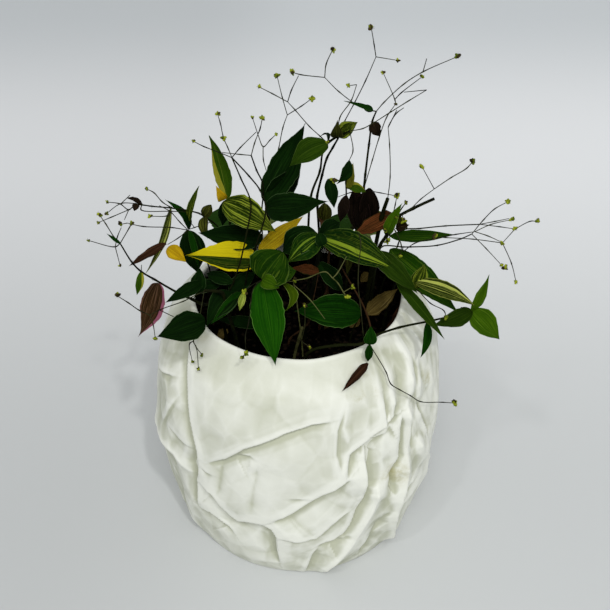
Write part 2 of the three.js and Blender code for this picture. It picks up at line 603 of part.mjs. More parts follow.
// The lowest stem on the left, which sweeps out and up again
shoot('shoot_left_low', [
  rooted([[-33, -16, 116], [-36.5, -20, 137.5], [-41.5, -22, 140], [-45.5, -22, 142.5],
    [-48, -22, 144], [-52, -22, 146.5], [-61, -22, 153.5], [-66, -22, 157.5], [-69.5, -21, 161.5],
    [-73.5, -20, 170.5]], 0.7, 0.4),
  thread([[-73.5, -20, 170.5], [-75.5, -20, 173.5], [-78, -20, 180], [-80, -20, 184.5]], 2.8),
  leaf([-73.5, -20, 170.5], [-78.5, -20, 175.5], 1.5, 0.8, 0),
  thread([[-73.5, -20, 170.5], [-75.5, -21, 169.5], [-85.5, -23, 174]], 1.8),
  thread([[-75.5, -21, 169.5], [-74.5, -22, 160.5]], 1.8),
  thread([[-75.5, -21, 169.5], [-74.5, -19, 173], [-72.5, -18, 177]]),
  thread([[-73.5, -20, 170.5], [-69, -19, 177.5], [-68, -18, 179]], 2.6),
  leaf([-66, -22, 157.5], [-68.5, -26, 148], 3.5, 1.5, -20),
  thread([[-66, -22, 157.5], [-65.5, -22, 161]]),
  leaf([-43, -21, 146], [-42.5, -16, 153], 5.5, 1, 0),
  leaf([-41, -19, 149.5], [-56.5, -28, 145.5], 7.5, 3, 0),
  leaf([-46.5, -21, 147], [-31.5, -16, 147], 6, 2, 0),
  thread([[-45.5, -22, 142.5], [-43, -21, 146]]),
  thread([[-43, -21, 146], [-41, -19, 149.5]]),
  thread([[-48, -22, 144], [-46.5, -21, 147]]),
]);

// Front left: the dark leaf over the rim and the threads below it
shoot('shoot_left_front', [
  rooted([[-26, -28, 116], [-30.5, -31.5, 148], [-31.5, -32, 154], [-38.5, -33, 156]], 0.8, 0.6),
  thread([[-31.5, -32, 154], [-39, -33, 155], [-47.5, -34, 151], [-57.5, -36, 148], [-61.5, -37, 146]]),
  thread([[-61.5, -37, 146], [-65.5, -37, 148.5], [-69.5, -38, 153.5], [-73.5, -38, 157]], 3.2),
  thread([[-57.5, -36, 148], [-51.5, -38, 146]]),
  thread([[-61.5, -37, 146], [-60.5, -38, 141.5], [-60, -40, 135.5]], 2.4),
  leaf([-38.5, -38, 144], [-57.5, -48, 143.5], 12.5, 2.5, 0),
  leaf([-26, -26, 149], [-38, -40, 142], 11, 4, 15),
  leaf([-24, -28, 151], [-36, -42, 145], 5, 1, -10),
  thread([[-38.5, -33, 156], [-41.5, -37, 142], [-42, -44, 141.5], [-43, -46, 139.5],
    [-42, -46.5, 136.5], [-42.5, -44, 122]], 2),
  thread([[-42, -46.5, 136.5], [-41, -40, 126.5]], 1.8),
  thread([[-43, -46, 139.5], [-44.5, -46, 138.5], [-45.5, -40, 122.5]], 1.8),
  thread([[-41.5, -37, 142], [-38.5, -38, 144]]),
  thread([[-30.5, -31.5, 148], [-26, -26, 149]]),
  thread([[-26, -26, 149], [-24, -28, 151]]),
]);

// The round leaf and the big green leaf that hangs over the front rim
shoot('shoot_front', [
  rooted([[-13, -26, 116], [-14, -28.5, 133.5], [-15, -31, 151.5], [-14.5, -31, 160]], 0.8, 0.6),
  leaf([-14, -28.5, 133.5], [-36, -23, 132.5], 5.5, 1, 0),
  leaf([-14.5, -31, 160], [-9, -54, 133], 14, -3, 0),
  leaf([-14.5, -31, 160], [-6, -24, 169], 18, 3, 0),
  leaf([-14.5, -31, 160], [-7.5, -35, 158.5], 6.5, 2, 0),
  leaf([-12, -30.5, 161], [-0.5, -27, 161.5], 9, 2.5, 0),
  leaf([-7, -28, 157], [-6, -36, 146.5], 4, 2, 0, 5),
  leaf([-22, -34, 155.5], [-24, -38, 149], 3, 1, 0),
  thread([[-14.5, -31, 160], [-18, -34, 158], [-19, -38, 154.5], [-20, -44, 147.5], [-21, -50, 146],
    [-21, -52.5, 138.5]], 2.6),
  bud([-22.5, -53.5, 137], 2.6),
  thread([[-14.5, -31, 160], [-19.5, -33, 158], [-22, -34, 155.5]], 3.4),
  thread([[-14.5, -31, 160], [-12, -30.5, 161]]),
  thread([[-12, -30.5, 161], [-7, -28, 157]]),
  thread([[-21, -52.5, 138.5], [-22.5, -53.5, 137]]),
]);

// The middle: long leaves that arch to the right from one knot
shoot('shoot_center', [
  rooted([[3, -14, 116], [8.5, -14, 156.5], [9.5, -13, 169.5]], 0.9, 0.7),
  leaf([9.5, -13, 169.5], [-4.5, -20, 160.5], 11, 3, 0),
  leaf([8, -12, 170.5], [-6.5, -12, 160.5], 12.5, 4, 0),
  leaf([9.5, -13, 169.5], [42, -24, 159], 12.5, 8, 0),
  leaf([32, -19, 165.5], [50, -33, 154], 8.5, 2, 0),
  leaf([9, -14, 171.5], [10.5, -17, 165.5], 5, 3, 0),
  leaf([41.5, -26, 155.5], [61.5, -43, 137.5], 5, 0, 10),
  leaf([9.5, -13, 169.5], [18, -6, 172], 7, 3, 0),
  leaf([8.5, -14, 156.5], [20.5, -9, 136.5], 7.5, 2, 0),
  leaf([22.5, -20, 169], [21, -17, 152], 3, 1, 0),
  stem([[9.5, -13, 169.5], [22.5, -20, 169], [32.5, -22, 165.5], [43, -24, 156],
    [51.5, -26, 150]], 0.5, 0.4),
  thread([[51.5, -26, 150], [56, -31, 147.5], [61, -36, 147.5], [62, -37, 144.5]], 2.8),
  thread([[9.5, -13, 169.5], [8, -12, 170.5]]),
  thread([[32.5, -22, 165.5], [32, -19, 165.5]]),
  thread([[9.5, -13, 169.5], [9, -14, 171.5]]),
  thread([[43, -24, 156], [41.5, -26, 155.5]]),
]);

// A broad leaf low over the soil, on its own thin stalk
shoot('leaf_broad_front', [
  rooted([[24, -16, 116], [28, -18, 131.5]], 0.5, 0.4),
  leaf([28, -18, 131.5], [-2, -20, 134.5], 15, 5, 0),
]);

// A pale branching spray low in the middle
shoot('spray_pale_front', [
  rooted([[2, -26, 116], [-1, -27, 151.5]], 0.4, 0.35),
  thread([[-1, -27, 151.5], [-1.5, -27.5, 154.5], [-1.5, -27.5, 156.5], [4, -28, 158.5],
    [11.5, -29, 162.5], [14.5, -30, 160], [16.5, -31, 158.5], [19, -33, 155], [20.5, -34, 153]], 3),
  bud([22.5, -34, 158.5], 2.8),
  thread([[14.5, -30, 160], [16.5, -29, 162], [20, -28, 169.5]]),
  thread([[-1.5, -27.5, 156.5], [-6.5, -27, 156]]),
  bud([-1.5, -27.5, 157], 2.6),
  thread([[-1.5, -27.5, 154.5], [5, -30, 149], [11.5, -34, 141.5]]),
  thread([[19, -33, 155], [22.5, -34, 158.5]]),
]);

// A short pale stub at the front with two flower threads
shoot('stub_pale', [
  rooted([[-2, -33, 116], [0.5, -33.5, 130], [2, -34, 137]], 0.7, 0.6),
  thread([[0.5, -33.5, 130], [1.5, -34.5, 129.5], [5, -37, 128.5]], 2.4),
  thread([[1.5, -34.5, 129.5], [3, -36, 140], [3, -37, 151]], 2.4),
]);

// A single thread that stands up at the front right
shoot('thread_upright_front', [
  rooted([[17, -30, 116], [28, -36, 133.5]], 0.4, 0.35),
  thread([[28, -36, 133.5], [26.5, -34, 146.5], [25, -32, 158.5], [25, -30, 166.5],
    [25.5, -27, 177], [24, -25, 180]]),
]);

// A stem that lies over the right rim, with bright leaves at its end
shoot('shoot_right_low', [
  rooted([[2, -38, 116], [5.5, -42, 130.5], [16, -43.5, 135], [27, -43.5, 136], [29, -42.5, 137],
    [33, -41, 138.5], [43, -36, 138.5], [55.5, -32, 138.5], [67.5, -28, 138.5], [70, -27.5, 139],
    [75, -26, 139.5]], 0.65, 0.5),
  leaf([75, -26, 139.5], [80.5, -24, 157.5], 5, 1, 20),
  leaf([75, -26, 139.5], [86.5, -35, 131], 11, 1, 0),
  leaf([75, -26, 139.5], [56.5, -38, 142], 6.5, 0, 0),
  stem([[70, -27.5, 139], [70.5, -26, 141.5]], 0.7, 0.5),
  bud([69.5, -29, 137.5], 3),
  leaf([55.5, -32, 138.5], [53, -38, 123], 4, 0, 20),
  leaf([30, -44, 136], [30.5, -41, 143.5], 5.5, 2, 0),
  leaf([30, -44, 136], [29.5, -46, 128], 3.5, 1.5, 0),
  thread([[29, -42.5, 137], [30, -44, 136], [37.5, -47, 123], [39.5, -50, 119], [43.5, -50.5, 116],
    [49, -47, 109], [54, -44, 102.5], [66.5, -33, 91], [72, -33, 90.5]], 3.4),
  thread([[67.5, -28, 138.5], [69.5, -29, 137.5]]),
]);

// An upright stem right of the middle with a dried orange leaf
shoot('shoot_right_mid', [
  rooted([[33, 12, 116], [37.5, 10, 165], [39.5, 10, 174]], 1.0, 0.8),
  thread([[39.5, 10, 174], [40, 11, 184], [39, 13, 198.5], [38, 14, 206]]),
  thread([[38, 14, 206], [38.5, 14, 207.5], [41, 14, 212.5], [44, 14, 215]]),
  thread([[38.5, 14, 207.5], [41, 13, 214.5]]),
  leaf([41.5, 9, 165.5], [24, 3, 160], 8.5, -3, 20),
  leaf([41.5, 9, 165.5], [50, 12, 156.5], 4, 1, 20),
  thread([[37.5, 10, 165], [41.5, 9, 165.5]]),
]);

// A stout stem to the right with two leaves and many small buds
shoot('shoot_right_sprays', [
  rooted([[34, 2, 116], [36.5, 1, 155], [39, 0.5, 160.5], [39.5, 0.5, 162], [41, 0.5, 166],
    [43, 0, 170.5], [49.5, 0, 175], [58, -1, 180.5]], 0.75, 0.65),
  thread([[43, 0, 170.5], [45, -1, 172.5], [46.5, -2, 174], [52, -3, 181.5], [57, -4, 187]]),
  thread([[57, -4, 187], [51, -4, 197.5]], 2.8),
  thread([[57, -4, 187], [63, -6, 193.5], [68.5, -8, 199], [70.5, -8, 202]], 3),
  bud([43, 0, 170.5], 2.6),
  leaf([39, 0.5, 160.5], [45, 2, 176.5], 5.5, 1.5, -20),
  leaf([40.5, -1, 161.5], [68.5, -6, 165.5], 5.5, 2, 15),
  leaf([43, 0, 164.5], [48.5, -2, 168], 4, 1, 0),
  bud([45.5, -3, 170.5], 3),
  bud([39, -4, 161], 3),
  thread([[43, 0, 170.5], [41.5, 1, 170.5], [42, 2, 175.5], [42.5, 2, 180.5]], 3),
  thread([[43, 0, 170.5], [45, 2, 174], [46.5, 2, 176.5]], 2.4),
  thread([[41, 0.5, 166], [42.5, -3, 165], [45, -6, 160], [44.5, -8, 155.5]], 2.6),
  thread([[39.5, 0.5, 162], [40.5, -1, 161.5], [38, -1, 164.5]], 2.6),
  thread([[41, 0.5, 166], [43, 0, 164.5]]),
  thread([[45, -1, 172.5], [45.5, -3, 170.5]]),
  thread([[40.5, -1, 161.5], [39, -4, 161]]),
]);

// A thin stem that arches out to the right and ends in a spray
shoot('shoot_right_long', [
  rooted([[32, -8, 116], [35, -7, 154], [36.5, -7, 160], [45.5, -8, 160.5], [48.5, -8, 160.5],
    [60, -9, 162], [69.5, -10, 166], [74, -10, 168.5]], 0.45, 0.35),
  thread([[74, -10, 168.5], [78, -10, 175.5], [82, -10, 181], [87, -10, 184.5]], 2.6),
  thread([[74, -10, 168.5], [80.5, -12, 162.5], [88, -14, 155]], 2),
  bud([89.5, -14.5, 154], 3),
  thread([[45.5, -8, 160.5], [45.5, -9, 159], [50, -11, 164.5], [59, -13, 168.5], [66.5, -14, 171],
    [74, -15, 173]]),
  thread([[74, -15, 173], [80, -15, 176.5], [88.5, -15, 179]], 2.6),
  thread([[74, -15, 173], [79.5, -16, 171.5], [84.5, -17, 169.5]]),
  bud([58, -13, 169], 3),
  thread([[88, -14, 155], [89.5, -14.5, 154]]),
]);

// The thin stem that reaches farthest right
shoot('shoot_right_far', [
  rooted([[38, 10, 116], [45.5, 8, 151], [47, 6, 160], [54, 5, 161.5], [65, 4, 163.5],
    [80, 3, 165]], 0.45, 0.35),
  thread([[80, 3, 165], [86.5, 3, 166.5], [92.5, 3, 168]]),
  thread([[80, 3, 165], [88.5, 1, 165], [95, 0, 164.5]], 2.6),
  thread([[95, 0, 164.5], [101, 0, 168.5], [104, 0, 168.5]], 2.8),
  thread([[95, 0, 164.5], [90, -2, 158.5]], 2.4),
  thread([[90, -2, 158.5], [95, -4, 149], [98.5, -5, 139]], 2.4),
  thread([[90, -2, 158.5], [77.5, 1, 158.5], [65.5, 3, 158], [54.5, 5, 157.5], [47.5, 6, 157]]),
]);

// The crinkled dark leaves on the right
shoot('shoot_right_dark', [
  rooted([[40, -6, 116], [44.5, -2, 148], [41, 1, 153]], 0.7, 0.5),
  leaf([41, 1, 153], [71, -20, 133.5], 13.5, 4, 20),
]);

// Leaves and bracts of other colours

looseLeaf('leaf_brown_upper', 'brown', [
  leaf([32, 16.5, 207.5], [34.5, 14, 202], 5, 2, 20),
]);
looseLeaf('leaf_maroon_center', 'maroon', [
  leaf([25, 13, 177], [27, 14, 153], 9, 1.5, -6),
  leaf([32, 12, 178], [32.5, 16.5, 153.5], 9, 1.5, 6),
  leaf([27.5, 12.5, 174.5], [29.5, 15.5, 152], 6.5, 1.5, 0),
]);
looseLeaf('bract_yellow', 'yellow', [
  leaf([21.5, 4.5, 183], [23, 6, 193.5], 4, 1.5, 0),
  leaf([21.5, 4.5, 183.5], [28.5, 4, 181], 4, 1, 0),
]);
looseLeaf('lobe_yellow_upper', 'yellow', [
  leaf([-31.5, -3, 181], [-34, -4.5, 189], 4.5, 2.5, 0),
]);
looseLeaf('leaf_maroon_left', 'maroon', [
  leaf([-59, -23.5, 152.5], [-69, -32, 130], 11.5, -4, 12),
]);
looseLeaf('leaf_brown_left', 'brown', [
  leaf([-56, -12, 165], [-72, -18, 157.5], 4.5, 1, 10),
]);
looseLeaf('lobe_yellow_left', 'yellow', [
  leaf([-55.5, -12, 163], [-47.5, -17, 159], 6, 1.5, 0),
]);
looseLeaf('leaf_half_yellow', 'yellow', [
  leaf([-17.5, -9, 154.5], [-47, -20, 164.5], 13, 2.5, 0),
]);
looseLeaf('leaf_yellow_upper', 'yellow', [
  leaf([-17, -7.5, 157.5], [2.5, -6, 175], 7.5, 0, 10),
]);
looseLeaf('leaf_brown_hanging', 'brown', [
  leaf([29.5, -47.5, 128.5], [18.5, -58, 122.5], 3, -1, 35),
]);
looseLeaf('leaf_yellow_striped', 'yellow', [
  leaf([49.5, -25.5, 151.5], [75, -31, 146], 8.5, 4, 10),
  leaf([50, -25.5, 151.5], [53.5, -20, 160], 7, 3, 0),
]);


// The back: leafy stems that rise behind the middle and droop over the back rim. Each has its
// leaves on alternate sides, and their lengths and directions are drawn at random.

const BACK_STEM = [[0, 0, 0], [3, 5, 13], [7, 14, 23], [12, 26, 21], [15, 37, 8]];
const BACK_LEAVES = [[2, -1, 0], [3, 1, 0.1], [3, -1, 0.2], [4, 0.3, 0.4]];
const BACK_LEAF_LENGTH = 29;
const BACK_LEAF_WIDTH = 13;

function backShoot(name, x, y, spread, seed) {
  const draw = seededDraw(seed);
  const path = BACK_STEM.map(([dx, dy, dz]) => [x + spread * dx, y + dy, SOIL_TOP + 3 + dz]);
  const parts = [rooted(path, 0.9, 0.6)];
  for (const [corner, side, droop] of BACK_LEAVES) {
    const length = BACK_LEAF_LENGTH * (0.8 + 0.35 * draw());
    const out = side * (0.55 + 0.35 * draw());
    const drop = -droop - 0.3 * draw();
    const [px, py, pz] = path[corner];
    const tip = [px + out * length, py + 0.45 * length, pz + drop * length];
    parts.push(leaf(path[corner], tip, BACK_LEAF_WIDTH * (0.8 + 0.4 * draw()), 2, 180));
  }
  shoot(name, parts);
}

backShoot('shoot_back_left', -18, 27, -1.1, 3);
backShoot('shoot_back_right', 18, 24, 1.1, 21);

// Dried stems that stand and lean in the middle among the living ones, with dead leaves
shoot('dried_stems', [
  rooted([[10, -8, 116], [13, -7, 136], [14, -4, 156], [18, -2, 168]], 0.6, 0.4),
  thread([[13, -7, 136], [19, -8, 150], [21, -7, 163]]),
  rooted([[20, -6, 116], [18, -7, 126], [13, -7, 136], [8, -5, 150]], 0.5, 0.35),
  rooted([[34, -21, 116], [31, -14, 128], [19, -8, 150]], 0.5, 0.35),
  stem([[34, -21, 116], [39, -21.5, 121]], 0.5, 0.5),
  rooted([[-4, -18, 116], [4, -18, 125], [13, -7, 136]], 0.5, 0.35),
  thread([[4, -18, 125], [7, -19, 142], [9, -18, 154.5]]),
  leaf([9, -18, 154.5], [-3, -20, 158], 5, 1, 0),
  leaf([14, -4, 156], [9, -1, 171], 10, 1.5, 30),
  leaf([19, -8, 150], [22, -10, 160], 7, 1, 60),
  leaf([31, -14, 128], [45, -8, 138], 7.5, 1, 0),
  leaf([39, -21.5, 121], [46, -8.5, 131], 5, 1, 20),
  leaf([18, -7, 126], [12, -14, 119], 8, 1.5, 0),
], 'brown');

// Dry leaf scraps that lie on the soil

function scrap(name, from, to, width) {
  looseLeaf(name, 'tan', [leaf(from, to, width, 1, 0)]);
}

scrap('scrap_right', [31, 29, 114.2], [36, 35, 114.8], 5);
scrap('scrap_front_right', [24, -7, 114.3], [29, -1, 115], 4.5);
scrap('scrap_left', [-37, -15, 113.7], [-33, -8, 114.2], 4.5);

// The soil: a plug that fills the pot, slightly uneven on top, with a plain hole for each stem
function soilSolid() {
  const draw = seededDraw(5);
  const rings = [25, 90, SOIL_TOP - 2].map((z) => potRing(
    () => innerRadius(z) - SOIL_GAP - 1,
    z,
    SOIL_COLUMNS,
  ));
  rings.unshift(potRing(() => innerRadius(12) - 3, FLOOR_THICKNESS + SOIL_GAP, SOIL_COLUMNS));
  for (const share of [0.97, 0.8, 0.55, 0.3]) {
    rings.push(potRing(() => (innerRadius(SOIL_TOP) - 1) * share, SOIL_TOP, SOIL_COLUMNS).map((p) => {
      p.z += (draw() - 0.5) * 2.4;
      return p;
    }));
  }
  const bottom = new THREE.Vector3(0, 0, FLOOR_THICKNESS + SOIL_GAP);
  let solid = ringSolid(rings, bottom, new THREE.Vector3(0, 0, SOIL_TOP));
  for (const { x, y, radius } of roots) {
    const hole = new THREE.CylinderGeometry(radius + HOLE_GAP, radius + HOLE_GAP, ROOT_DEPTH + 10, 5);
    hole.rotateX(Math.PI / 2);
    hole.translate(x, y, SOIL_TOP - ROOT_DEPTH - HOLE_GAP + (ROOT_DEPTH + 10) / 2);
    solid = solid.subtract(solidFrom(hole));
  }
  return largestBody(solid);
}

addPiece('pot', geometryFrom(potSolid()), 'pot');
addPiece('soil', geometryFrom(soilSolid()), 'soil');

export default plant;
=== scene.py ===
"""The looks of a small-leaf spiderwort with striped leaves in a white crumpled-paper pot."""

import bpy
import numpy as np
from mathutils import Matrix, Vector


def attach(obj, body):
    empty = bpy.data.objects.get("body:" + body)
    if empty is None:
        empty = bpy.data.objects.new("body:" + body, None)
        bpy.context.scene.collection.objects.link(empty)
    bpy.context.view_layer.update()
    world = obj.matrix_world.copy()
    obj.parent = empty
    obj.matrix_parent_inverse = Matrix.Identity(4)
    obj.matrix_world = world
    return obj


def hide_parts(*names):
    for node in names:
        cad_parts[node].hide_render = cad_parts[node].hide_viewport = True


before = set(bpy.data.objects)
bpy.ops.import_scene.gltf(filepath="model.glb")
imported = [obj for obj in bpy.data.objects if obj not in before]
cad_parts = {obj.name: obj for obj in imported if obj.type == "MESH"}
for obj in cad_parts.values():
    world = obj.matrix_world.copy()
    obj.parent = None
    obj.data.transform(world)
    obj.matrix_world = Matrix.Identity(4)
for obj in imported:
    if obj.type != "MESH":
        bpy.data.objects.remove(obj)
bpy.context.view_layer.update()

# Pot: one shell of matt white ceramic, cast in a mould of crumpled paper. Long folds and steps run
# across it, with finer creases between them. The lip is thin and plain, and the inside is smooth.
# It stands on its flat underside. Sizes are in millimetres, and angles in degrees round from the front.

POT_HEIGHT = 131.4
POT_BASE_RADIUS = 62
POT_BELLY_RADIUS = 70
POT_SHOULDER_RADIUS = 62.5
POT_MOUTH_RADIUS = 49.5
POT_WALL = 4
LIP_WIDTH = 2
FLOOR_THICKNESS = 7
POT_PROFILE = np.array([[0, POT_BASE_RADIUS], [0.1, 66], [0.32, POT_BELLY_RADIUS], [0.62, POT_BELLY_RADIUS],
                        [0.88, POT_SHOULDER_RADIUS], [1, POT_MOUTH_RADIUS]])
POT_COLUMNS = 432
POT_ROWS = 190
CREASE_RADIUS = 68
MM_PER_DEGREE = np.pi / 180 * CREASE_RADIUS
CREASE_MEETING = 1.1
HIDDEN_CREASES = 34
HIDDEN_FROM = 72
HIDDEN_SPAN = 214
# Colours: the white of the ceramic, the grey-green painted shade laid into folds, on down-facing faces and on
# the left side, and the brown of the stains.
POT_WHITE = (0.835, 0.845, 0.765)
POT_PAINTED_SHADE = (0.515, 0.53, 0.405)
POT_STAIN = (0.38, 0.35, 0.12)

# Faint brown marks, in metres: the middle and the size of each.
POT_STAINS = (((0.027, -0.052, 0.119), 0.012), ((0.047, -0.015, 0.13), 0.009),
              ((0.044, -0.055, 0.066), 0.012), ((0.057, -0.033, 0.102), 0.012),
              ((-0.04, -0.028, 0.131), 0.008))

# Facets: width, height, depth and seed of each size. Pleats: width, sway, tilt and depth of each.
FACET_SIZES = ((21, 34, 0.8, 3), (15, 19, -0.6, 8), (8, 11, 0.3, 5))
PLEAT_SIZES = ((13.0, 0.22, 0.012, 1.1), (7.3, 0.4, -0.016, 0.6))

# Each crease: lift and reach on its upper or left side, lift and reach on the other side, and
# its path from left to right or upwards, as (degrees round from the front, height). The first
# two are the deep fold on the left.
CREASES = [
    (-4.3, 4.5, 0.6, 6, [(-43, 58), (-42, 72), (-42, 80), (-44.5, 90), (-47, 99), (-50, 108), (-55, 119),
                         (-60, 126)]),
    (-3, 4, 0.4, 4, [(-45, 34), (-44, 48), (-43.5, 60), (-43, 74)]),
    (0.6, 7, -0.6, 5, [(-67, 72), (-62, 82), (-57, 94), (-55, 99)]),
    (0.6, 7, -0.8, 7, [(-78, 98), (-66, 104), (-58, 108)]),
    (0, 5, -1.6, 9, [(-62, 78), (-52, 77), (-44, 76)]),
    (0.3, 8, -1.3, 5, [(-36, 76), (-28, 83), (-20, 93), (-12, 99), (-5, 104), (5, 108.5), (13, 109.5)]),
    (0, 5, -1.4, 7, [(-28, 83), (-24, 87.5), (-18, 89.5), (-14, 88)]),
    (-0.8, 4, -0.8, 4, [(-18, 52), (-17, 66), (-15.5, 78), (-14.5, 88)]),
    (-0.8, 3.5, -0.8, 3.5, [(-33, 56), (-31, 62), (-29, 85)]),
    (0.3, 4, -1.3, 4, [(-40, 71), (-37, 69), (-33, 69.5)]),
    (1, 8, -2.2, 9, [(-43, 58), (-35, 56), (-31, 50), (-28, 45), (-24, 42.5), (-20, 45), (-15, 46.5),
                     (-11, 44), (-9, 38), (-9, 25), (-8, 12)]),
    (0.6, 5, -1.7, 7, [(-47, 36), (-38, 38), (-30, 33), (-27, 28)]),
    (0.6, 6, -2.9, 13, [(-10, 50), (-5, 54), (0, 59), (5, 65), (9, 69), (14, 72), (19, 77)]),
    (0.3, 4, -0.8, 4, [(-4, 67), (5, 67)]),
    (0.8, 8, -1.4, 9, [(-8, 38), (0, 36), (7, 37), (14, 47), (20, 53)]),
    (0.8, 5, -2.4, 6, [(7, 28), (12, 31.5), (18, 32), (21.5, 34)]),
    (0.6, 6, -1.3, 5, [(3, 2), (4, 10), (6, 22), (8, 28)]),
    (0, 5, -0.9, 5, [(16, 78), (14.5, 92), (15, 104), (18, 114)]),
    (0.7, 2.5, 0.7, 2.5, [(19.5, 93), (17.5, 105), (20, 118)]),
    (0.6, 8, -3, 9, [(17.5, 77), (19, 85), (20, 90), (25, 93.5), (28, 96), (33, 98), (36, 100), (41, 101.5)]),
    (0.4, 4, -1.7, 5, [(27, 90.5), (32, 92), (36, 94), (38.5, 96.5)]),
    (1, 5, -2.2, 7, [(25, 60), (26.5, 72), (26.5, 84), (27, 94)]),
    (-1, 3, -2.6, 4, [(12, 31), (18, 35), (21, 42), (23, 52), (25.5, 60), (27.5, 70)]),
    (2.5, 4.5, 2.5, 4.5, [(9, 0), (14, 12), (19, 22), (22, 30), (25, 40), (28, 49), (30, 57), (31, 68)]),
    (-1.8, 5, -1.8, 5, [(30, 2), (31, 14), (32, 26), (35, 34), (38, 40)]),
    (-1, 4, -2.8, 3, [(39, 53), (37, 60), (37.5, 68), (41.5, 76), (42, 88), (42.3, 101)]),
    (2.3, 3.6, 2.3, 3.6, [(46, 2), (44, 14), (41.5, 26), (40.5, 36), (41.5, 48), (44, 62), (44.5, 80),
                          (45, 98), (46, 106)]),
    (-1.4, 2, -1.4, 2, [(47.5, 74), (47.2, 86), (47.6, 98)]),
    (0.8, 6, -1.2, 6, [(42, 51), (48, 51.5), (56, 50)]),
    (0.8, 7, -1.9, 8, [(41, 36), (50, 38), (58, 42)]),
    (0.8, 5, -1.8, 6, [(60, 70), (58.5, 77), (55.5, 87), (52.5, 96), (52, 101)]),
    (1.3, 4, 1.3, 4, [(61, 55), (57, 63), (53, 72), (49.5, 82)]),
    (0.5, 3, -1.4, 3, [(34, 97), (35, 106), (35.5, 114)]),
    (1.2, 2, 1.2, 2, [(38, 100), (39.5, 108), (40.5, 116)]),
    (1.4, 3, 1.4, 3, [(49, 104), (50, 112), (52, 121)]),
    (-1.2, 3, -1.2, 3, [(54, 106), (56, 114), (56, 122)]),
    (-1, 2.5, -1, 2.5, [(44, 108), (46, 116), (46, 122)]),
]


def seeded_draw(seed):
    """Numbers between 0 and 1, each from the last: 1664525 times it plus 1013904223, over 2 to the 32."""
    state = seed
    while True:
        state = (state * 1664525 + 1013904223) % 4294967296
        yield state / 4294967296


def hidden_creases():
    """The sides and the back: three-legged creases with random starts, headings, lifts and reaches."""
    draw = seeded_draw(11)
    found = []
    for _ in range(HIDDEN_CREASES):
        angle = HIDDEN_FROM + HIDDEN_SPAN * next(draw)
        height = 12 + 108 * next(draw)
        heading = (next(draw) - 0.5) * np.pi
        path = [(angle, height)]
        for _ in range(3):
            bend = heading + (next(draw) - 0.5) * 1.2
            length = 12 + 16 * next(draw)
            angle += length * np.cos(bend) / 1.2
            height += length * np.sin(bend)
            path.append((angle, height))
        step = next(draw) < 0.4
        lift = 1 + 1.6 * next(draw)
        if not step and next(draw) < 0.35:
            lift = -lift
        reach = 4 + 9 * next(draw)
        found.append((lift, reach, 0 if step else lift, reach, path))
    return found


def pot_radius(height):
    """Outer radius at a height: smooth cubic steps through the profile's points."""
    share = np.clip(np.asarray(height, float) / POT_HEIGHT, 0, 1)
    s, r = POT_PROFILE.T
    i = np.clip(np.searchsorted(s, share, side="left") - 1, 0, len(s) - 2)
    before, after = np.maximum(np.arange(len(s)) - 1, 0), np.minimum(np.arange(len(s)) + 1, len(s) - 1)
    slope = (r[after] - r[before]) / (s[after] - s[before])
    width = s[i + 1] - s[i]
    t = (share - s[i]) / width
    ease = t * t * (3 - 2 * t)
    return (r[i] * (1 - ease) + r[i + 1] * ease
            + width * (t * (1 - t) ** 2 * slope[i] + t * t * (t - 1) * slope[i + 1]))


def crease_lift(crease, angle, height):
    """On each side of the line the lift fades as exp(-distance / reach). The two meet over 1.1 mm, and
    over more where the step is deep and at the back, where the columns stand farther apart."""
    upper, upper_reach, lower, lower_reach, path = crease
    corners = np.array(path, float) * (MM_PER_DEGREE, 1)
    nearest = np.full(angle.shape, np.inf)
    side = np.ones(angle.shape)
    along = np.zeros(angle.shape)
    travelled = 0.0
    for start, end in zip(corners[:-1], corners[1:]):
        dx, dz = end - start
        length = np.hypot(dx, dz)
        px, pz = angle * MM_PER_DEGREE - start[0], height - start[1]
        t = np.clip((px * dx + pz * dz) / length**2, 0, 1)
        away = np.hypot(px - t * dx, pz - t * dz)
        closer = away < nearest
        nearest = np.where(closer, away, nearest)
        side = np.where(closer, np.where(dx * pz - dz * px < 0, -1, 1), side)
        along = np.where(closer, travelled + t * length, along)
        travelled += length
    fade = np.clip(np.minimum(along + 1, travelled - along + 1) / 9, 0, 1)
    round_back = np.abs((angle + 180) % 360 - 180)
    meeting = max(CREASE_MEETING, 0.16 * (upper - lower) ** 2)
    meeting = meeting + 4 * np.clip((round_back - HIDDEN_FROM) / 100, 0, 1)
    share = np.clip(side * nearest / meeting + 0.5, 0, 1)
    return fade * (share * upper * np.exp(-nearest / upper_reach)
                   + (1 - share) * lower * np.exp(-nearest / lower_reach))


def facets(angle, height, across, tall, seed):
    """Dished faces with straight sharp edges: the squared distance to the nearest of the random points,
    one in each cell of a net that is closed round the pot."""
    columns = int(round(360 * MM_PER_DEGREE / across))
    x, z = (angle % 360) / 360 * columns, height / tall + 1
    spots = np.random.default_rng(seed).uniform(0, 1, (2, 32, columns))
    nearest = np.full(np.broadcast(x, z).shape, np.inf)
    for row in (-1, 0, 1):
        for column in (-1, 0, 1):
            i, k = np.floor(z).astype(int) + row, np.floor(x).astype(int) + column
            spot = spots[:, i % 32, k % columns]
            nearest = np.minimum(nearest, (k + spot[0] - x) ** 2 + (i + spot[1] - z) ** 2)
    return nearest


def right_pleats(angle, height):
    """Upright pleats right of the front, 26 to 84 degrees round: two zigzags, 1 at the middle of a pleat
    and 0 at its sides, that sway with height and fade below 74 mm."""
    lift = np.zeros(angle.shape)
    for width, sway, tilt, depth in PLEAT_SIZES:
        place = angle * MM_PER_DEGREE / width + sway * np.sin(height / 15 + 2 * width) + tilt * height
        strength = 0.55 + 0.45 * np.sin(2.3 * np.floor(place) + height / 21)
        lift += 1.2 * depth * ((1 - np.abs(2 * (place % 1) - 1)) * strength - 0.28)
    across = np.clip((angle - 26) / 8, 0, 1) * np.clip((84 - angle) / 24, 0, 1)
    return lift * across * np.clip((height - 52) / 22, 0, 1)


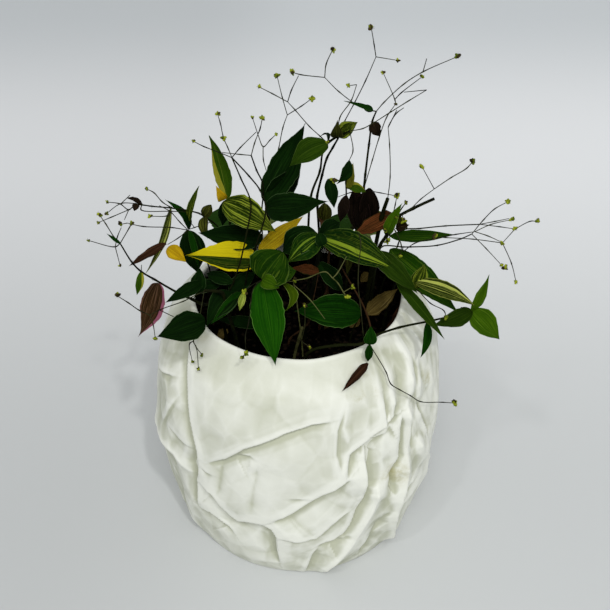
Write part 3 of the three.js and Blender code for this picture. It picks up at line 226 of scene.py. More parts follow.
def pot_relief(angle, height):
    """Broad dents from sine waves round and up the pot, then the highest and the lowest crease at each place
    plus half of the sum of all, the facets (deeper on the right, the far left and low down, shallower at
    the back), and the pleats. All fade out over the last 12 mm below the lip, and 5 mm on the right."""
    turn = np.radians(angle)
    lift = (0.5 * np.sin(5 * turn + 0.06 * height + 1.3) * np.cos(0.09 * height + 2 * turn)
            + 0.3 * np.sin(9 * turn - 0.11 * height) - 0.4)
    ups, downs = np.zeros(angle.shape), np.zeros(angle.shape)
    for crease in CREASES + hidden_creases():
        for here in (crease_lift(crease, angle, height), crease_lift(crease, angle + 360, height)):
            ups, downs = np.maximum(ups, here), np.minimum(downs, here)
            lift = lift + 0.5 * here
    lift = lift + (0.9 + 0.5 * np.clip((angle - 20) / 8, 0, 1)) * (ups + downs)
    rough = 1 + 1.3 * np.clip((angle - 12) / 16, 0, 1) + 1.3 * np.clip((-angle - 46) / 10, 0, 1)
    rough = rough + 0.5 * np.clip((60 - height) / 25, 0, 1)
    rough = rough * (1 - 0.55 * np.clip((np.abs(angle) - 68) / 22, 0, 1))
    faceted = sum(depth * facets(angle, height, *size, seed) for *size, depth, seed in FACET_SIZES)
    lift = lift + rough * (faceted - 0.1)
    lift = lift + right_pleats(angle, height)
    reach = 12 - 7 * np.clip((angle - 22) / 10, 0, 1) * np.clip((95 - angle) / 20, 0, 1)
    return np.minimum(1, (POT_HEIGHT - height) / reach) * lift


def painted_shade_amount(angle, height, relief):
    """How much painted shade each place gets, from 0 on an upright ridge to 1 in a deep fold. It grows with
    how far the place lies under its neighbours 2, 5 and 10 steps away, and with how far it leans in or out.
    It is higher near the deep fold and on the left side, and lower on the right, where it is painted light."""
    under = np.zeros(relief.shape)
    sparse = np.clip((140 - np.abs(angle)) / 50, 0.25, 1)
    for step in (2, 5, 10):
        rows = np.clip(np.arange(len(relief))[:, None] + [-step, step], 0, len(relief) - 1)
        beside = (np.roll(relief, step, 1) + np.roll(relief, -step, 1) + relief[rows].sum(1)) / 4
        under += sparse * (beside - relief) / (0.28 * step)
    slope = np.gradient(pot_radius(height) + relief, axis=0) / 0.68
    # Painted shade on faces that lean in or out.
    lean_shade = np.clip(0.5 * slope, 0, 0.4) + np.clip(-0.22 * slope, 0, 0.2)
    # Painted shade beside the deep fold on the left.
    fold_shade = crease_lift((0.55, 4.5, 0, 1, CREASES[0][-1]), angle, height)
    fold_shade += crease_lift((0.5, 3, 0.2, 3, CREASES[1][-1]), angle, height)
    # Painted shade on the left side, and painted light on the right.
    sides = 0.28 * np.exp(-(((angle + 67) / 11) ** 2)) - 0.12 * np.exp(-(((angle - 62) / 12) ** 2))
    return np.clip(0.32 + 0.48 * under + lean_shade + fold_shade + sides, 0, 1)


def rings_to_skin(rings, first, last):
    """Joins rings of points with four-sided faces and closes both ends with a fan to one point. Where the
    volume inside comes out negative, all faces are turned over, so they point outwards."""
    count, around = rings.shape[:2]
    points = np.vstack([np.reshape(first, (1, 3)), rings.reshape(-1, 3), np.reshape(last, (1, 3))])
    row, column = np.meshgrid(np.arange(count - 1), np.arange(around), indexing="ij")
    a = 1 + row * around + column
    b = 1 + row * around + (column + 1) % around
    quads = np.stack([a, b, b + around, a + around], -1).reshape(-1, 4)
    column = np.arange(around)
    beside = (column + 1) % around
    end = 1 + (count - 1) * around
    fans = np.vstack([
        np.stack([np.zeros(around, int), 1 + beside, 1 + column], -1),
        np.stack([end + column, end + beside, np.full(around, len(points) - 1)], -1),
    ])
    corners = points[fans]
    sides = points[quads]
    flux = np.einsum("ij,ij->", corners[:, 0], np.cross(corners[:, 1], corners[:, 2]))
    for i, j, k in ((0, 1, 2), (0, 2, 3)):
        flux += np.einsum("ij,ij->", sides[:, i], np.cross(sides[:, j], sides[:, k]))
    if flux < 0:
        quads, fans = quads[:, ::-1], fans[:, ::-1]
    return points, quads, fans


def make_piece(name, points, quads, fans, materials, face_finish=None, uv=None, marks=None):
    """A mesh object from points in millimetres, its faces, its finishes and its own marks per point."""
    mesh = bpy.data.meshes.new(name)
    mesh.vertices.add(len(points))
    mesh.vertices.foreach_set("co", (points * 0.001).astype(np.float32).ravel())
    corners = np.concatenate([quads.ravel(), fans.ravel()]).astype(np.int32)
    sizes = np.concatenate([np.full(len(quads), 4), np.full(len(fans), 3)])
    mesh.loops.add(len(corners))
    mesh.loops.foreach_set("vertex_index", corners)
    mesh.polygons.add(len(sizes))
    mesh.polygons.foreach_set("loop_start", (np.cumsum(sizes) - sizes).astype(np.int32))
    mesh.polygons.foreach_set("use_smooth", np.ones(len(sizes), bool))
    if face_finish is not None:
        mesh.polygons.foreach_set("material_index", face_finish.astype(np.int32))
    if uv is not None:
        layer = mesh.uv_layers.new(name="UVMap")
        layer.data.foreach_set("uv", uv[corners].astype(np.float32).ravel())
    for key, values in (marks or {}).items():
        attribute = mesh.attributes.new(key, "FLOAT", "POINT")
        attribute.data.foreach_set("value", values.astype(np.float32))
    mesh.update()
    mesh.validate()
    for material in materials:
        mesh.materials.append(material)
    piece = bpy.data.objects.new(name, mesh)
    bpy.context.scene.collection.objects.link(piece)
    return piece


def round_pot(radius, angle, height):
    """Points at a radius, an angle round from the front in degrees, and a height."""
    turn = np.radians(angle)
    radius, turn, height = np.broadcast_arrays(radius, turn, height)
    return np.stack([radius * np.sin(turn), -radius * np.cos(turn), height], -1)


def pot_rings():
    """The outline carried round the pot, with the painted shade of each point: underside, creased outside,
    lip, smooth inside. The
    columns stand closest at the front: their angle is 126 s + 54 s^7 with s from -1 to 1."""
    step = np.linspace(-1, 1, POT_COLUMNS, endpoint=False)[None, :]
    angle = 126 * step + 54 * step**7
    outside = np.linspace(2.5, POT_HEIGHT - 1, POT_ROWS)[:, None]
    grid_angle, grid_height = np.broadcast_arrays(angle, outside)
    relief = pot_relief(grid_angle, grid_height)
    creased = round_pot(pot_radius(grid_height) + relief, angle, outside)
    foot = [round_pot(radius, angle, height)
            for radius, height in ((20, 0), (45, 0), (POT_BASE_RADIUS - 3, 0), (POT_BASE_RADIUS - 0.6, 0.7))]
    wave = 0.25 * np.sin(np.radians(7 * angle) + 1) + 0.2 * np.sin(np.radians(13 * angle))
    lip = [round_pot(POT_MOUTH_RADIUS - share * LIP_WIDTH + wave * 0.6, angle, POT_HEIGHT - drop)
           for share, drop in ((0.12, 0.35), (0.35, 0.05), (0.6, 0.02), (0.85, 0.3), (1.0, 0.9))]
    inside_heights = (129, 126, 122, 116, 108, 95, 65, 25, 12, FLOOR_THICKNESS + 1, FLOOR_THICKNESS)
    inside = [round_pot(pot_radius(height) - POT_WALL - (8 if height < 9 else 0), angle, height)
              for height in inside_heights]
    painted_shade = np.full((len(foot) + len(relief) + len(lip) + len(inside), POT_COLUMNS), 0.35)
    # Painted shade on the creased outside; elsewhere a flat 0.35.
    painted_shade[len(foot):len(foot) + len(relief)] = painted_shade_amount(grid_angle, grid_height, relief)
    return np.concatenate(foot + [creased] + lip + inside), np.concatenate([[0.35], painted_shade.ravel(), [0.35]])


def wire(tree, kind, inputs=None, out=0, **settings):
    """Adds a shader node, sets or links its inputs, and gives back one of its outputs."""
    node = tree.nodes.new("ShaderNode" + kind)
    for key, value in settings.items():
        setattr(node, key, value)
    for key, value in (inputs or {}).items():
        if isinstance(value, bpy.types.NodeSocket):
            tree.links.new(value, node.inputs[key])
        else:
            node.inputs[key].default_value = value
    return node.outputs[out]


def ramp(tree, value, low, high):
    """0 below low, 1 above high, and a smooth step between."""
    return wire(tree, "MapRange", {0: value, 1: low, 2: high}, interpolation_type="SMOOTHSTEP")


def blend(tree, share, under, over):
    """Goes from one colour to the other as share goes from 0 to 1."""
    return wire(tree, "Mix", {0: share, 6: under, 7: over}, out=2, data_type="RGBA")


def calculator(tree):
    """A short way to add Math nodes to one node tree."""
    def math(kind, a, b=0.0, c=0.0):
        return wire(tree, "Math", {0: a, 1: b, 2: c}, operation=kind)
    return math


def finish_with(name, rough, specular):
    """A new material with its Principled shader, ready for its colour and bump."""
    material = bpy.data.materials.new(name)
    material.use_nodes = True
    shader = material.node_tree.nodes["Principled BSDF"]
    shader.inputs["Roughness"].default_value = rough
    shader.inputs["Specular IOR Level"].default_value = specular
    return material, material.node_tree, shader


def wear(material, tree, shader, colour, bump):
    """Feeds a colour and a bump into the shader, and gives the finished material back."""
    tree.links.new(colour, shader.inputs["Base Color"])
    tree.links.new(bump, shader.inputs["Normal"])
    return material


def pot_finish():
    """White on the ridges, a warm grey-green painted shade in the hollows, on down-facing faces and on the
    left, fine paper creases, and faint brown marks.
    """
    material, tree, shader = finish_with("pot_paper_white", 0.6, 0.3)
    place = wire(tree, "TexCoord", out="Object")
    math = calculator(tree)

    def noise(scale, detail, rough=0.5, out=0):
        settings = {"Vector": place, "Scale": scale, "Detail": detail, "Roughness": rough}
        return wire(tree, "TexNoise", settings, out=out)

    warp = wire(tree, "VectorMath", {0: noise(30, 3, out="Color"), 1: (0.012,) * 3}, operation="MULTIPLY")
    bent = wire(tree, "VectorMath", {0: place, 1: warp}, operation="ADD")
    folds = wire(tree, "TexVoronoi", {"Vector": bent, "Scale": 62}, feature="DISTANCE_TO_EDGE")
    small = wire(tree, "TexVoronoi", {"Vector": bent, "Scale": 150}, feature="DISTANCE_TO_EDGE")
    soft = noise(75, 2)
    paper_grain = math("MULTIPLY", noise(900, 4), 0.02)
    height = math("MULTIPLY_ADD", folds, 0.45, math("MULTIPLY_ADD", small, 0.2, paper_grain))
    height = math("MULTIPLY_ADD", soft, 0.8, height)
    bump = wire(tree, "Bump", {"Height": height, "Strength": 0.4, "Distance": 0.0012})
    # Painted shade: the grey-green grows with the shade mark of each point, mixed with random mottling.
    painted_shade = wire(tree, "Attribute", out="Fac", attribute_name="painted_shade")
    mottle_and_shade = math("MULTIPLY_ADD", noise(40, 5), 0.9, math("MULTIPLY_ADD", painted_shade, 1.1, -0.44))
    tint = blend(tree, ramp(tree, mottle_and_shade, 0.1, 1.0), POT_WHITE + (1,), POT_PAINTED_SHADE + (1,))
    marks = noise(70, 6, 0.7)
    stained = 0.0
    for spot, size in POT_STAINS:
        away = wire(tree, "VectorMath", {0: place, 1: spot}, operation="DISTANCE", out="Value")
        here = math("MULTIPLY", ramp(tree, marks, 0.46, 0.66), ramp(tree, away, size, size * 0.15))
        stained = math("MAXIMUM", here, stained)
    colour = blend(tree, math("MULTIPLY", stained, 0.6), tint, POT_STAIN + (1,))
    return wear(material, tree, shader, colour, bump)


rings, painted_shade = pot_rings()
points, quads, fans = rings_to_skin(rings, (0, 0, 0), (0, 0, FLOOR_THICKNESS))
# The pot carries its painted shade on each point.
pot = make_piece("pot_shell", points, quads, fans, [pot_finish()], marks={"painted_shade": painted_shade})
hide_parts("pot")
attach(pot, "root")

# Soil: dark potting compost that fills the pot to 18 mm under the lip, with crumbs of bark and
# fibre on top. It is one mass, and each stem stands in it.

SOIL_TOP = 113
SOIL_GAP = 0.35
SOIL_COLUMNS = 240
SOIL_ROWS = 60
# The compost's near black is partly its own colour and partly painted shade for the shaded inside of the pot.
SOIL_BLACK_AND_SHADE = (0.0012, 0.001, 0.0008)
SOIL_FLECK = (0.012, 0.008, 0.005)

# Lumps: number, size and height of each kind.
LUMPS = ((60, 7, 0.9), (260, 2.6, 0.8), (900, 1.2, 0.5))
LUMP_LIMIT = 1.1


def soil_rings():
    """A plug carried round: sides that follow the pot's inside, and a top with random lumps. Each lump adds
    its height times exp(-(distance / size)^2)."""
    rng = np.random.default_rng(9)
    angle = np.linspace(-180, 180, SOIL_COLUMNS, endpoint=False)[None, :]
    sides = [round_pot(pot_radius(height) - POT_WALL - SOIL_GAP - 1, angle, height)
             for height in (12, 25, 65, 100, 111)]
    sides.insert(0, round_pot(pot_radius(12) - POT_WALL - 3, angle, FLOOR_THICKNESS + SOIL_GAP))
    radius = (pot_radius(SOIL_TOP) - POT_WALL - 1) * np.linspace(0.98, 0.01, SOIL_ROWS)[:, None]
    top = round_pot(radius, angle, 0.0)
    lumps = np.zeros(top.shape[:2])
    for count, size, depth in LUMPS:
        spot = rng.uniform(-52, 52, (count, 2))
        rise = rng.uniform(-0.6, 1, count) * depth
        for (x, y), lift in zip(spot, rise):
            away = (top[..., 0] - x) ** 2 + (top[..., 1] - y) ** 2
            lumps += lift * np.exp(-away / size**2)
    top[..., 2] = SOIL_TOP + np.clip(lumps, -LUMP_LIMIT, LUMP_LIMIT)
    return np.concatenate(sides + [top])


def soil_finish():
    """Near black with brown and tan flecks, quite rough: partly the compost's own dark colour, partly painted
    shade of the pot's shaded inside.
    """
    material, tree, shader = finish_with("soil_dark", 1, 0)
    place = wire(tree, "TexCoord", out="Object")
    crumbs = wire(tree, "TexVoronoi", {"Vector": place, "Scale": 700}, out="Color")
    fleck = wire(tree, "SeparateColor", {0: crumbs})
    tint = blend(tree, ramp(tree, fleck, 0.7, 1.0), SOIL_BLACK_AND_SHADE + (1,), SOIL_FLECK + (1,))
    grain = wire(tree, "TexNoise", {"Vector": place, "Scale": 1400, "Detail": 4})
    bump = wire(tree, "Bump", {"Height": grain, "Strength": 0.8, "Distance": 0.0008})
    return wear(material, tree, shader, tint, bump)


points, quads, fans = rings_to_skin(soil_rings(), (0, 0, FLOOR_THICKNESS + SOIL_GAP), (0, 0, SOIL_TOP))
soil = make_piece("soil_bed", points, quads, fans, [soil_finish()])
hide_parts("soil")
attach(soil, "root")

# Tall shoots: live stems behind the middle, rooted 15 mm deep in the soil. Stems are fleshy, up to
# 2 mm thick, with a swollen ring at each joint. Flower threads are 0.4 mm thick and end in clusters
# of tiny buds with fine hairs. Leaves are thin pointed blades with sunk veins, grown from a joint.
# A leaf of another colour is a piece of its own, here brown, maroon or yellow. Places are (right,
# back, up), worked out from points read off the photograph and a guessed depth for each.

ROOT_DEPTH = 15
STEM_SWELLING = 0.25
THREAD_RADIUS = 0.2
THREAD_SWELLING = 0.5
JOINT_REACH = 1.2
JOINT_HAIRS = 9
HAIR_RADIUS = 0.05
BUDS_IN_CLUSTER = 7
BUD_HAIRS = 12
BLADE_THICKNESS = 0.45
BLADE_POINTS_ROUND = 32
FRONT = np.array([0, -0.7, 0.7]) / np.hypot(0.7, 0.7)
DRY_FINISHES = ("brown", "dark_brown", "dry_tan", "orange")


def smooth_path(points, per_span):
    """A centripetal Catmull-Rom curve: a cubic in each span, its slopes from the steps between points."""
    p = np.array(points, float)
    p = np.vstack([2 * p[0] - p[1], p, 2 * p[-1] - p[-2]])
    step = np.maximum(np.linalg.norm(np.diff(p, axis=0), axis=1) ** 0.5, 1e-4)[:, None]
    a, b, c = step[:-2], step[1:-1], step[2:]
    p0, p1, p2, p3 = p[:-3], p[1:-2], p[2:-1], p[3:]
    m1 = ((p1 - p0) / a - (p2 - p0) / (a + b) + (p2 - p1) / b) * b
    m2 = ((p2 - p1) / b - (p3 - p1) / (b + c) + (p3 - p2) / c) * b
    t = np.linspace(0, 1, per_span, endpoint=False)[None, :, None]
    m1, m2, p1, p2 = (each[:, None, :] for each in (m1, m2, p1, p2))
    curve = ((2 * p1 - 2 * p2 + m1 + m2) * t**3 + (3 * p2 - 3 * p1 - 2 * m1 - m2) * t**2 + m1 * t + p1)
    return np.vstack([curve.reshape(-1, 3), p[-2]])


def upright_frames(path):
    """Two directions across the path at each place: the one before, less its part along the path."""
    tangent = np.gradient(path, axis=0)
    tangent /= np.linalg.norm(tangent, axis=1, keepdims=True)
    across = np.empty_like(path)
    guide = np.cross(tangent[0], (0.3, 0.9, 0.1))
    for i, ahead in enumerate(tangent):
        guide = guide - ahead * (guide @ ahead)
        guide = guide / np.linalg.norm(guide)
        across[i] = guide
    return across, np.cross(tangent, across)


def circle(turn, across, up):
    """Unit circles round each place: cosine of the turn times across plus its sine times up."""
    return np.cos(turn)[:, None] * across[:, None] + np.sin(turn)[:, None] * up[:, None]


def skin_of(rings, first, last, finish, tone, along=None, across=None, under=None):
    """One closed skin with its marks: place along and across, a tone of its own, and its underside."""
    points, quads, fans = rings_to_skin(rings, first, last)
    count, around = rings.shape[:2]
    along = np.linspace(0, 1, count) if along is None else along
    across = np.linspace(0, 1, around) if across is None else across
    u = np.concatenate([[along[0]], np.repeat(along, around), [along[-1]]])
    v = np.concatenate([[0.5], np.tile(across, count), [0.5]])
    below = np.zeros(len(points)) if under is None else np.concatenate([[0], np.tile(under, count), [0]])
    return {"points": points, "quads": quads, "fans": fans, "uv": np.stack([u, v], -1),
            "tone": np.full(len(points), tone), "under": below, "finish": finish}


def hairs(middles, reach, count, finish, seed):
    """Round each middle, cones with three sides that point every way, from 0.3 of the reach to all of it."""
    rng = np.random.default_rng(seed)
    foot = np.repeat(np.array(middles, float), count, axis=0)
    aim = rng.normal(size=foot.shape)
    aim /= np.linalg.norm(aim, axis=1, keepdims=True)
    side = np.cross(aim, rng.normal(size=foot.shape))
    side /= np.linalg.norm(side, axis=1, keepdims=True)
    other = np.cross(aim, side)
    ring = circle(np.array([0, 2, 4]) * np.pi / 3, side, other)
    base = foot[:, None] + aim[:, None] * 0.3 * reach + ring * HAIR_RADIUS
    tip = foot + aim * reach * rng.uniform(0.7, 1, (len(foot), 1))
    points = np.concatenate([base, tip[:, None]], axis=1).reshape(-1, 3)
    faces = np.array([(0, 1, 3), (1, 2, 3), (2, 0, 3), (2, 1, 0)])
    fans = (np.arange(len(foot))[:, None, None] * 4 + faces).reshape(-1, 3)
    blank = np.zeros(len(points))
    return {"points": points, "quads": np.zeros((0, 4), int), "fans": fans, "uv": np.zeros((len(points), 2)),
            "tone": blank + 0.5, "under": blank, "finish": finish}


def tube_skin(points, radii, finish, per_span, sides, swelling):
    """A circle carried along the smooth path. Its radius runs between the given ones, times 1 plus the
    swelling times exp(-(distance / 1.2)^2) from the nearest corner."""
    path = smooth_path(points, per_span)
    place = np.linspace(0, len(points) - 1, len(path))
    radius = np.interp(place, np.arange(len(points)), radii)
    if len(points) > 2:
        gap = np.linalg.norm(path[:, None] - np.array(points, float)[None, 1:-1], axis=2)
        radius = radius * (1 + swelling * np.exp(-((gap.min(axis=1) / JOINT_REACH) ** 2)))
    across, up = upright_frames(path)
    ring = circle(np.linspace(0, 2 * np.pi, sides, endpoint=False), across, up)
    rings = path[:, None] + ring * radius[:, None, None]
    tone = (points[0][0] * 0.37 + points[-1][2] * 0.11) % 1
    return skin_of(rings, path[0], path[-1], finish, tone)


def stem(points, root_radius, end_radius, finish="stem_olive", foot=()):
    """A fleshy stem that thins evenly, with a swollen joint and a few hairs at each of its corners."""
    radii = [root_radius] * len(foot) + list(np.linspace(root_radius, end_radius, len(points)))
    skins = [tube_skin([*foot, *points], radii, finish, 7, 10, STEM_SWELLING)]
    if len(points) > 2:
        skins.append(hairs(points[1:-1], root_radius + 0.9, JOINT_HAIRS, finish, len(points)))
    return skins


def rooted(points, root_radius, end_radius, finish="stem_olive"):
    """A stem that goes on straight down into the soil, 15 mm deep."""
    foot = (*points[0][:2], SOIL_TOP - ROOT_DEPTH)
    return stem(points, root_radius, end_radius, finish, [foot])


def bud(middle, size):
    """A cluster of seven egg-shaped buds that point away from the thread's end, about a third of them
    dried. Each is rings round its aim, with radius sqrt(1 - h^2) (1 - 0.3 h) at a rise h from -1 to 1."""
    rng = np.random.default_rng(int(abs(middle[0]) * 37 + abs(middle[2]) * 11))
    turn = np.linspace(0, 2 * np.pi, 8, endpoint=False)
    rise = np.linspace(-1, 1, 7)[1:-1]
    skins = []
    for k in range(BUDS_IN_CLUSTER):
        aim = rng.normal(size=3) + (0, 0, 0.4)
        aim /= np.linalg.norm(aim)
        across = np.cross(aim, (0.2, 0.9, 0.3))
        across /= np.linalg.norm(across)
        up = np.cross(aim, across)
        centre = np.array(middle, float) + aim * size * (0.27 if k else 0.0)
        radius, reach = size * rng.uniform(0.15, 0.25), size * rng.uniform(0.2, 0.36)
        width = radius * np.sqrt(1 - rise**2) * (1 - 0.3 * rise)
        ring = circle(turn, across[None], up[None])
        rings = centre + rise[:, None, None] * reach * aim + ring * width[:, None, None]
        kind = "bud_dry" if rng.uniform() < 0.35 else "bud_yellow_green"
        skins.append(skin_of(rings, centre - aim * reach, centre + aim * reach, kind, rng.uniform()))
    return skins + [hairs([middle], size * 0.7, BUD_HAIRS, "thread_olive", int(size * 10))]


def thread(points, bud_size=0.0, finish="thread_olive"):
    """A flower thread, a little thicker where it forks or bends, with its bud cluster if it has one."""
    radii = np.full(len(points), THREAD_RADIUS)
    radii[-1] = THREAD_RADIUS * 0.75
    skins = [tube_skin(points, radii, finish, 6, 6, THREAD_SWELLING)]
    return skins + (bud(points[-1], bud_size) if bud_size else [])


def leaf(foot, tip, width, arch, turn, finish, sweep=0):
    """A lens-shaped section along the midrib, u from foot to tip and v from edge to edge. Half width:
    width / 2 times (sine of pi u^0.72)^(0.75 + 0.45u), with a smaller power, so a rounder leaf, where
    the blade is nearly as wide as it is long. Lift: arch 4u(1-u), a fold that rises with v and v squared,
    an edge ripple, fine pleats, and a groove along the midrib. The sweep bends the blade sideways by
    4u(1-u). A dry blade rolls across its width in part of a circle, and its edge is more ragged."""
    start, end = np.array(foot, float), np.array(tip, float)
    axis = end - start
    length = np.linalg.norm(axis)
    side = np.cross(FRONT, axis)
    side /= np.linalg.norm(side)
    forward = axis / length
    angle = np.radians(turn)
    side = side * np.cos(angle) + np.cross(forward, side) * np.sin(angle)
    up = np.cross(axis, side)
    up /= np.linalg.norm(up)
    dry = finish in DRY_FINISHES
    count = int(np.clip(length * 0.95, 14, 46))
    u = ((1 - np.cos(np.linspace(0.02, 0.985, count) * np.pi)) / 2)[:, None]
    phi = np.linspace(0, 2 * np.pi, BLADE_POINTS_ROUND, endpoint=False)
    v = np.cos(phi)[None, :]
    phase = start[0] * 0.7 + end[2] * 0.3
    blunt = np.clip(length / width / 1.7, 0.55, 1)
    half = np.maximum(0.5 * (1 - u), width / 2 * np.sin(np.pi * u**0.72) ** (blunt * (0.75 + 0.45 * u)))
    waves = np.sin(2 * np.pi * 1.5 * u + phase + 0.8 * v)
    small = np.sin(2 * np.pi * 4.3 * u + 2.1 * phase + 2.2 * v) * 0.018 * width
    fold = half * (0.16 * v**2 + 0.14 * np.sqrt(v**2 + 0.004)) + (0.055 * width * waves + small) * v**2
    groove = -0.05 * width * np.exp(-((v / 0.09) ** 2)) * np.sin(np.pi * u)
    pleats = 0.009 * width * np.cos(v * 26) * (1 - v**2) * np.sin(np.pi * u)
    body = np.sin(phi)[None, :] * BLADE_THICKNESS / 2 * (0.35 + 0.65 * np.sqrt(half / half.max()))
    ragged = 1 + (0.1 if dry else 0.035) * np.sin(40 * u + phase + 2 * np.sin(17 * u)) * np.abs(v)
    spread = half * v * ragged
    if dry:
        roll = 1.25 + 0.35 * np.sin(3 * u + phase)
        spread = half * np.sin(roll * v) / np.sin(roll) * ragged
        fold = half * (1 - np.cos(roll * v)) / roll + (0.05 * width * waves + small) * v**2
    lift = arch * 4 * u * (1 - u) + fold + groove + pleats + body
    spread = spread + sweep * 4 * u * (1 - u)
    rings = start + axis * u[..., None] + side * spread[..., None] + up * lift[..., None]
    tone = (foot[0] * 0.731 + tip[2] * 0.417 + tip[0] * 0.13) % 1
    below = (np.sin(phi) < -0.01).astype(float)
    return [skin_of(rings, start, end, finish, tone, u[:, 0], (np.cos(phi) + 1) / 2, below)]


LEAF_COLOURS = ("Ground", "Deep", "Streak", "Edge", "Under")
LEAF_VALUES = ("Streak share", "Low edge", "High edge", "Band place", "Band width", "Second place",
               "Second width", "Edge fade")


def markings_group():
    """Leaf colour from place on the blade: ground, sunk veins, random streaks, bands, midrib and edges."""
    tree = bpy.data.node_groups.new("leaf_markings", "ShaderNodeTree")
    face = tree.interface
    for name in LEAF_COLOURS:
        face.new_socket(name, in_out="INPUT", socket_type="NodeSocketColor")
    for name in LEAF_VALUES:
        face.new_socket(name, in_out="INPUT", socket_type="NodeSocketFloat")
    face.new_socket("Colour", in_out="OUTPUT", socket_type="NodeSocketColor")
    face.new_socket("Veins", in_out="OUTPUT", socket_type="NodeSocketFloat")
    given = tree.nodes.new("NodeGroupInput").outputs
    made = tree.nodes.new("NodeGroupOutput").inputs
    parts = tree.nodes.new("ShaderNodeSeparateXYZ")
    tree.links.new(wire(tree, "TexCoord", out="UV"), parts.inputs[0])
    u, v = parts.outputs[0], parts.outputs[1]
    tone = wire(tree, "Attribute", out="Fac", attribute_name="tone")
    under = wire(tree, "Attribute", out="Fac", attribute_name="under")
    math = calculator(tree)

    def grain(along, across, detail, shift):
        place = wire(tree, "CombineXYZ", {0: math("MULTIPLY", u, along), 1: math("MULTIPLY", v, across),
                                          2: math("MULTIPLY_ADD", tone, 40.0, shift)})
        return wire(tree, "TexNoise", {"Vector": place, "Scale": 1.0, "Detail": detail, "Roughness": 0.6})

    sway = math("MULTIPLY_ADD", grain(3.0, 1.5, 1, 3.0), 0.12, -0.06)
    placed = math("ADD", v, sway)
    veins = grain(0.9, 40.0, 3, 0.0)
    patches = grain(2.2, 3.0, 3, 9.0)
    mottle = grain(22.0, 12.0, 3, 33.0)
    streaks = math("ADD", grain(1.1, 17.0, 2, 17.0), math("MULTIPLY_ADD", patches, 0.2, -0.1))
    low = math("SUBTRACT", 0.78, math("MULTIPLY", given["Streak share"], 0.42))
    streak = ramp(tree, streaks, low, math("ADD", low, 0.06))

    def band(place, width):
        away = math("ABSOLUTE", math("SUBTRACT", placed, place))
        ragged = math("MULTIPLY", width, math("MULTIPLY_ADD", grain(4.0, 20.0, 2, 25.0), 1.2, 0.4))
        return math("MULTIPLY", ramp(tree, math("SUBTRACT", ragged, away), -0.006, 0.012),
                    math("GREATER_THAN", width, 0.001))

    bands = math("MAXIMUM", band(given["Band place"], given["Band width"]),
                 band(given["Second place"], given["Second width"]))
    midrib = math("SUBTRACT", 0.014, math("ABSOLUTE", math("SUBTRACT", v, 0.5)))
    midrib = math("MULTIPLY", ramp(tree, midrib, -0.004, 0.006), math("MULTIPLY_ADD", u, -0.5, 0.6))
    bright = math("MAXIMUM", math("MAXIMUM", streak, bands), midrib)

    def edge(width, away):
        width = math("MULTIPLY", width, math("SUBTRACT", 1.0, math("MULTIPLY", given["Edge fade"], u)))
        sways = math("MULTIPLY", sway, math("MINIMUM", math("MULTIPLY", width, 7.0), 1.0))
        return ramp(tree, math("SUBTRACT", math("ADD", width, sways), away), -0.008, 0.008)

    edges = math("MAXIMUM", edge(given["Low edge"], v), edge(given["High edge"], math("SUBTRACT", 1.0, v)))
    ground = blend(tree, ramp(tree, veins, 0.42, 0.6), given["Ground"], given["Deep"])
    pale = math("MULTIPLY", ramp(tree, veins, 0.46, 0.3), 0.38)
    ground = blend(tree, pale, ground, given["Streak"])
    shade = blend(tree, ramp(tree, patches, 0.35, 0.8), ground, given["Deep"])
    shade = blend(tree, math("MULTIPLY", ramp(tree, mottle, 0.5, 0.8), 0.18), shade, given["Streak"])
    drawn = math("MULTIPLY", bright, math("MULTIPLY_ADD", veins, 0.8, 0.3))
    lined = blend(tree, drawn, shade, given["Streak"])
    edged = blend(tree, edges, lined, given["Edge"])
    turned = blend(tree, math("MULTIPLY", under, 0.8), edged, given["Under"])
    toned = wire(tree, "VectorMath", {0: turned, 3: math("MULTIPLY_ADD", tone, 0.5, 0.75)}, operation="SCALE")
    tree.links.new(toned, made["Colour"])
    tree.links.new(veins, made["Veins"])
    return tree


LEAF_MARKINGS = markings_group()

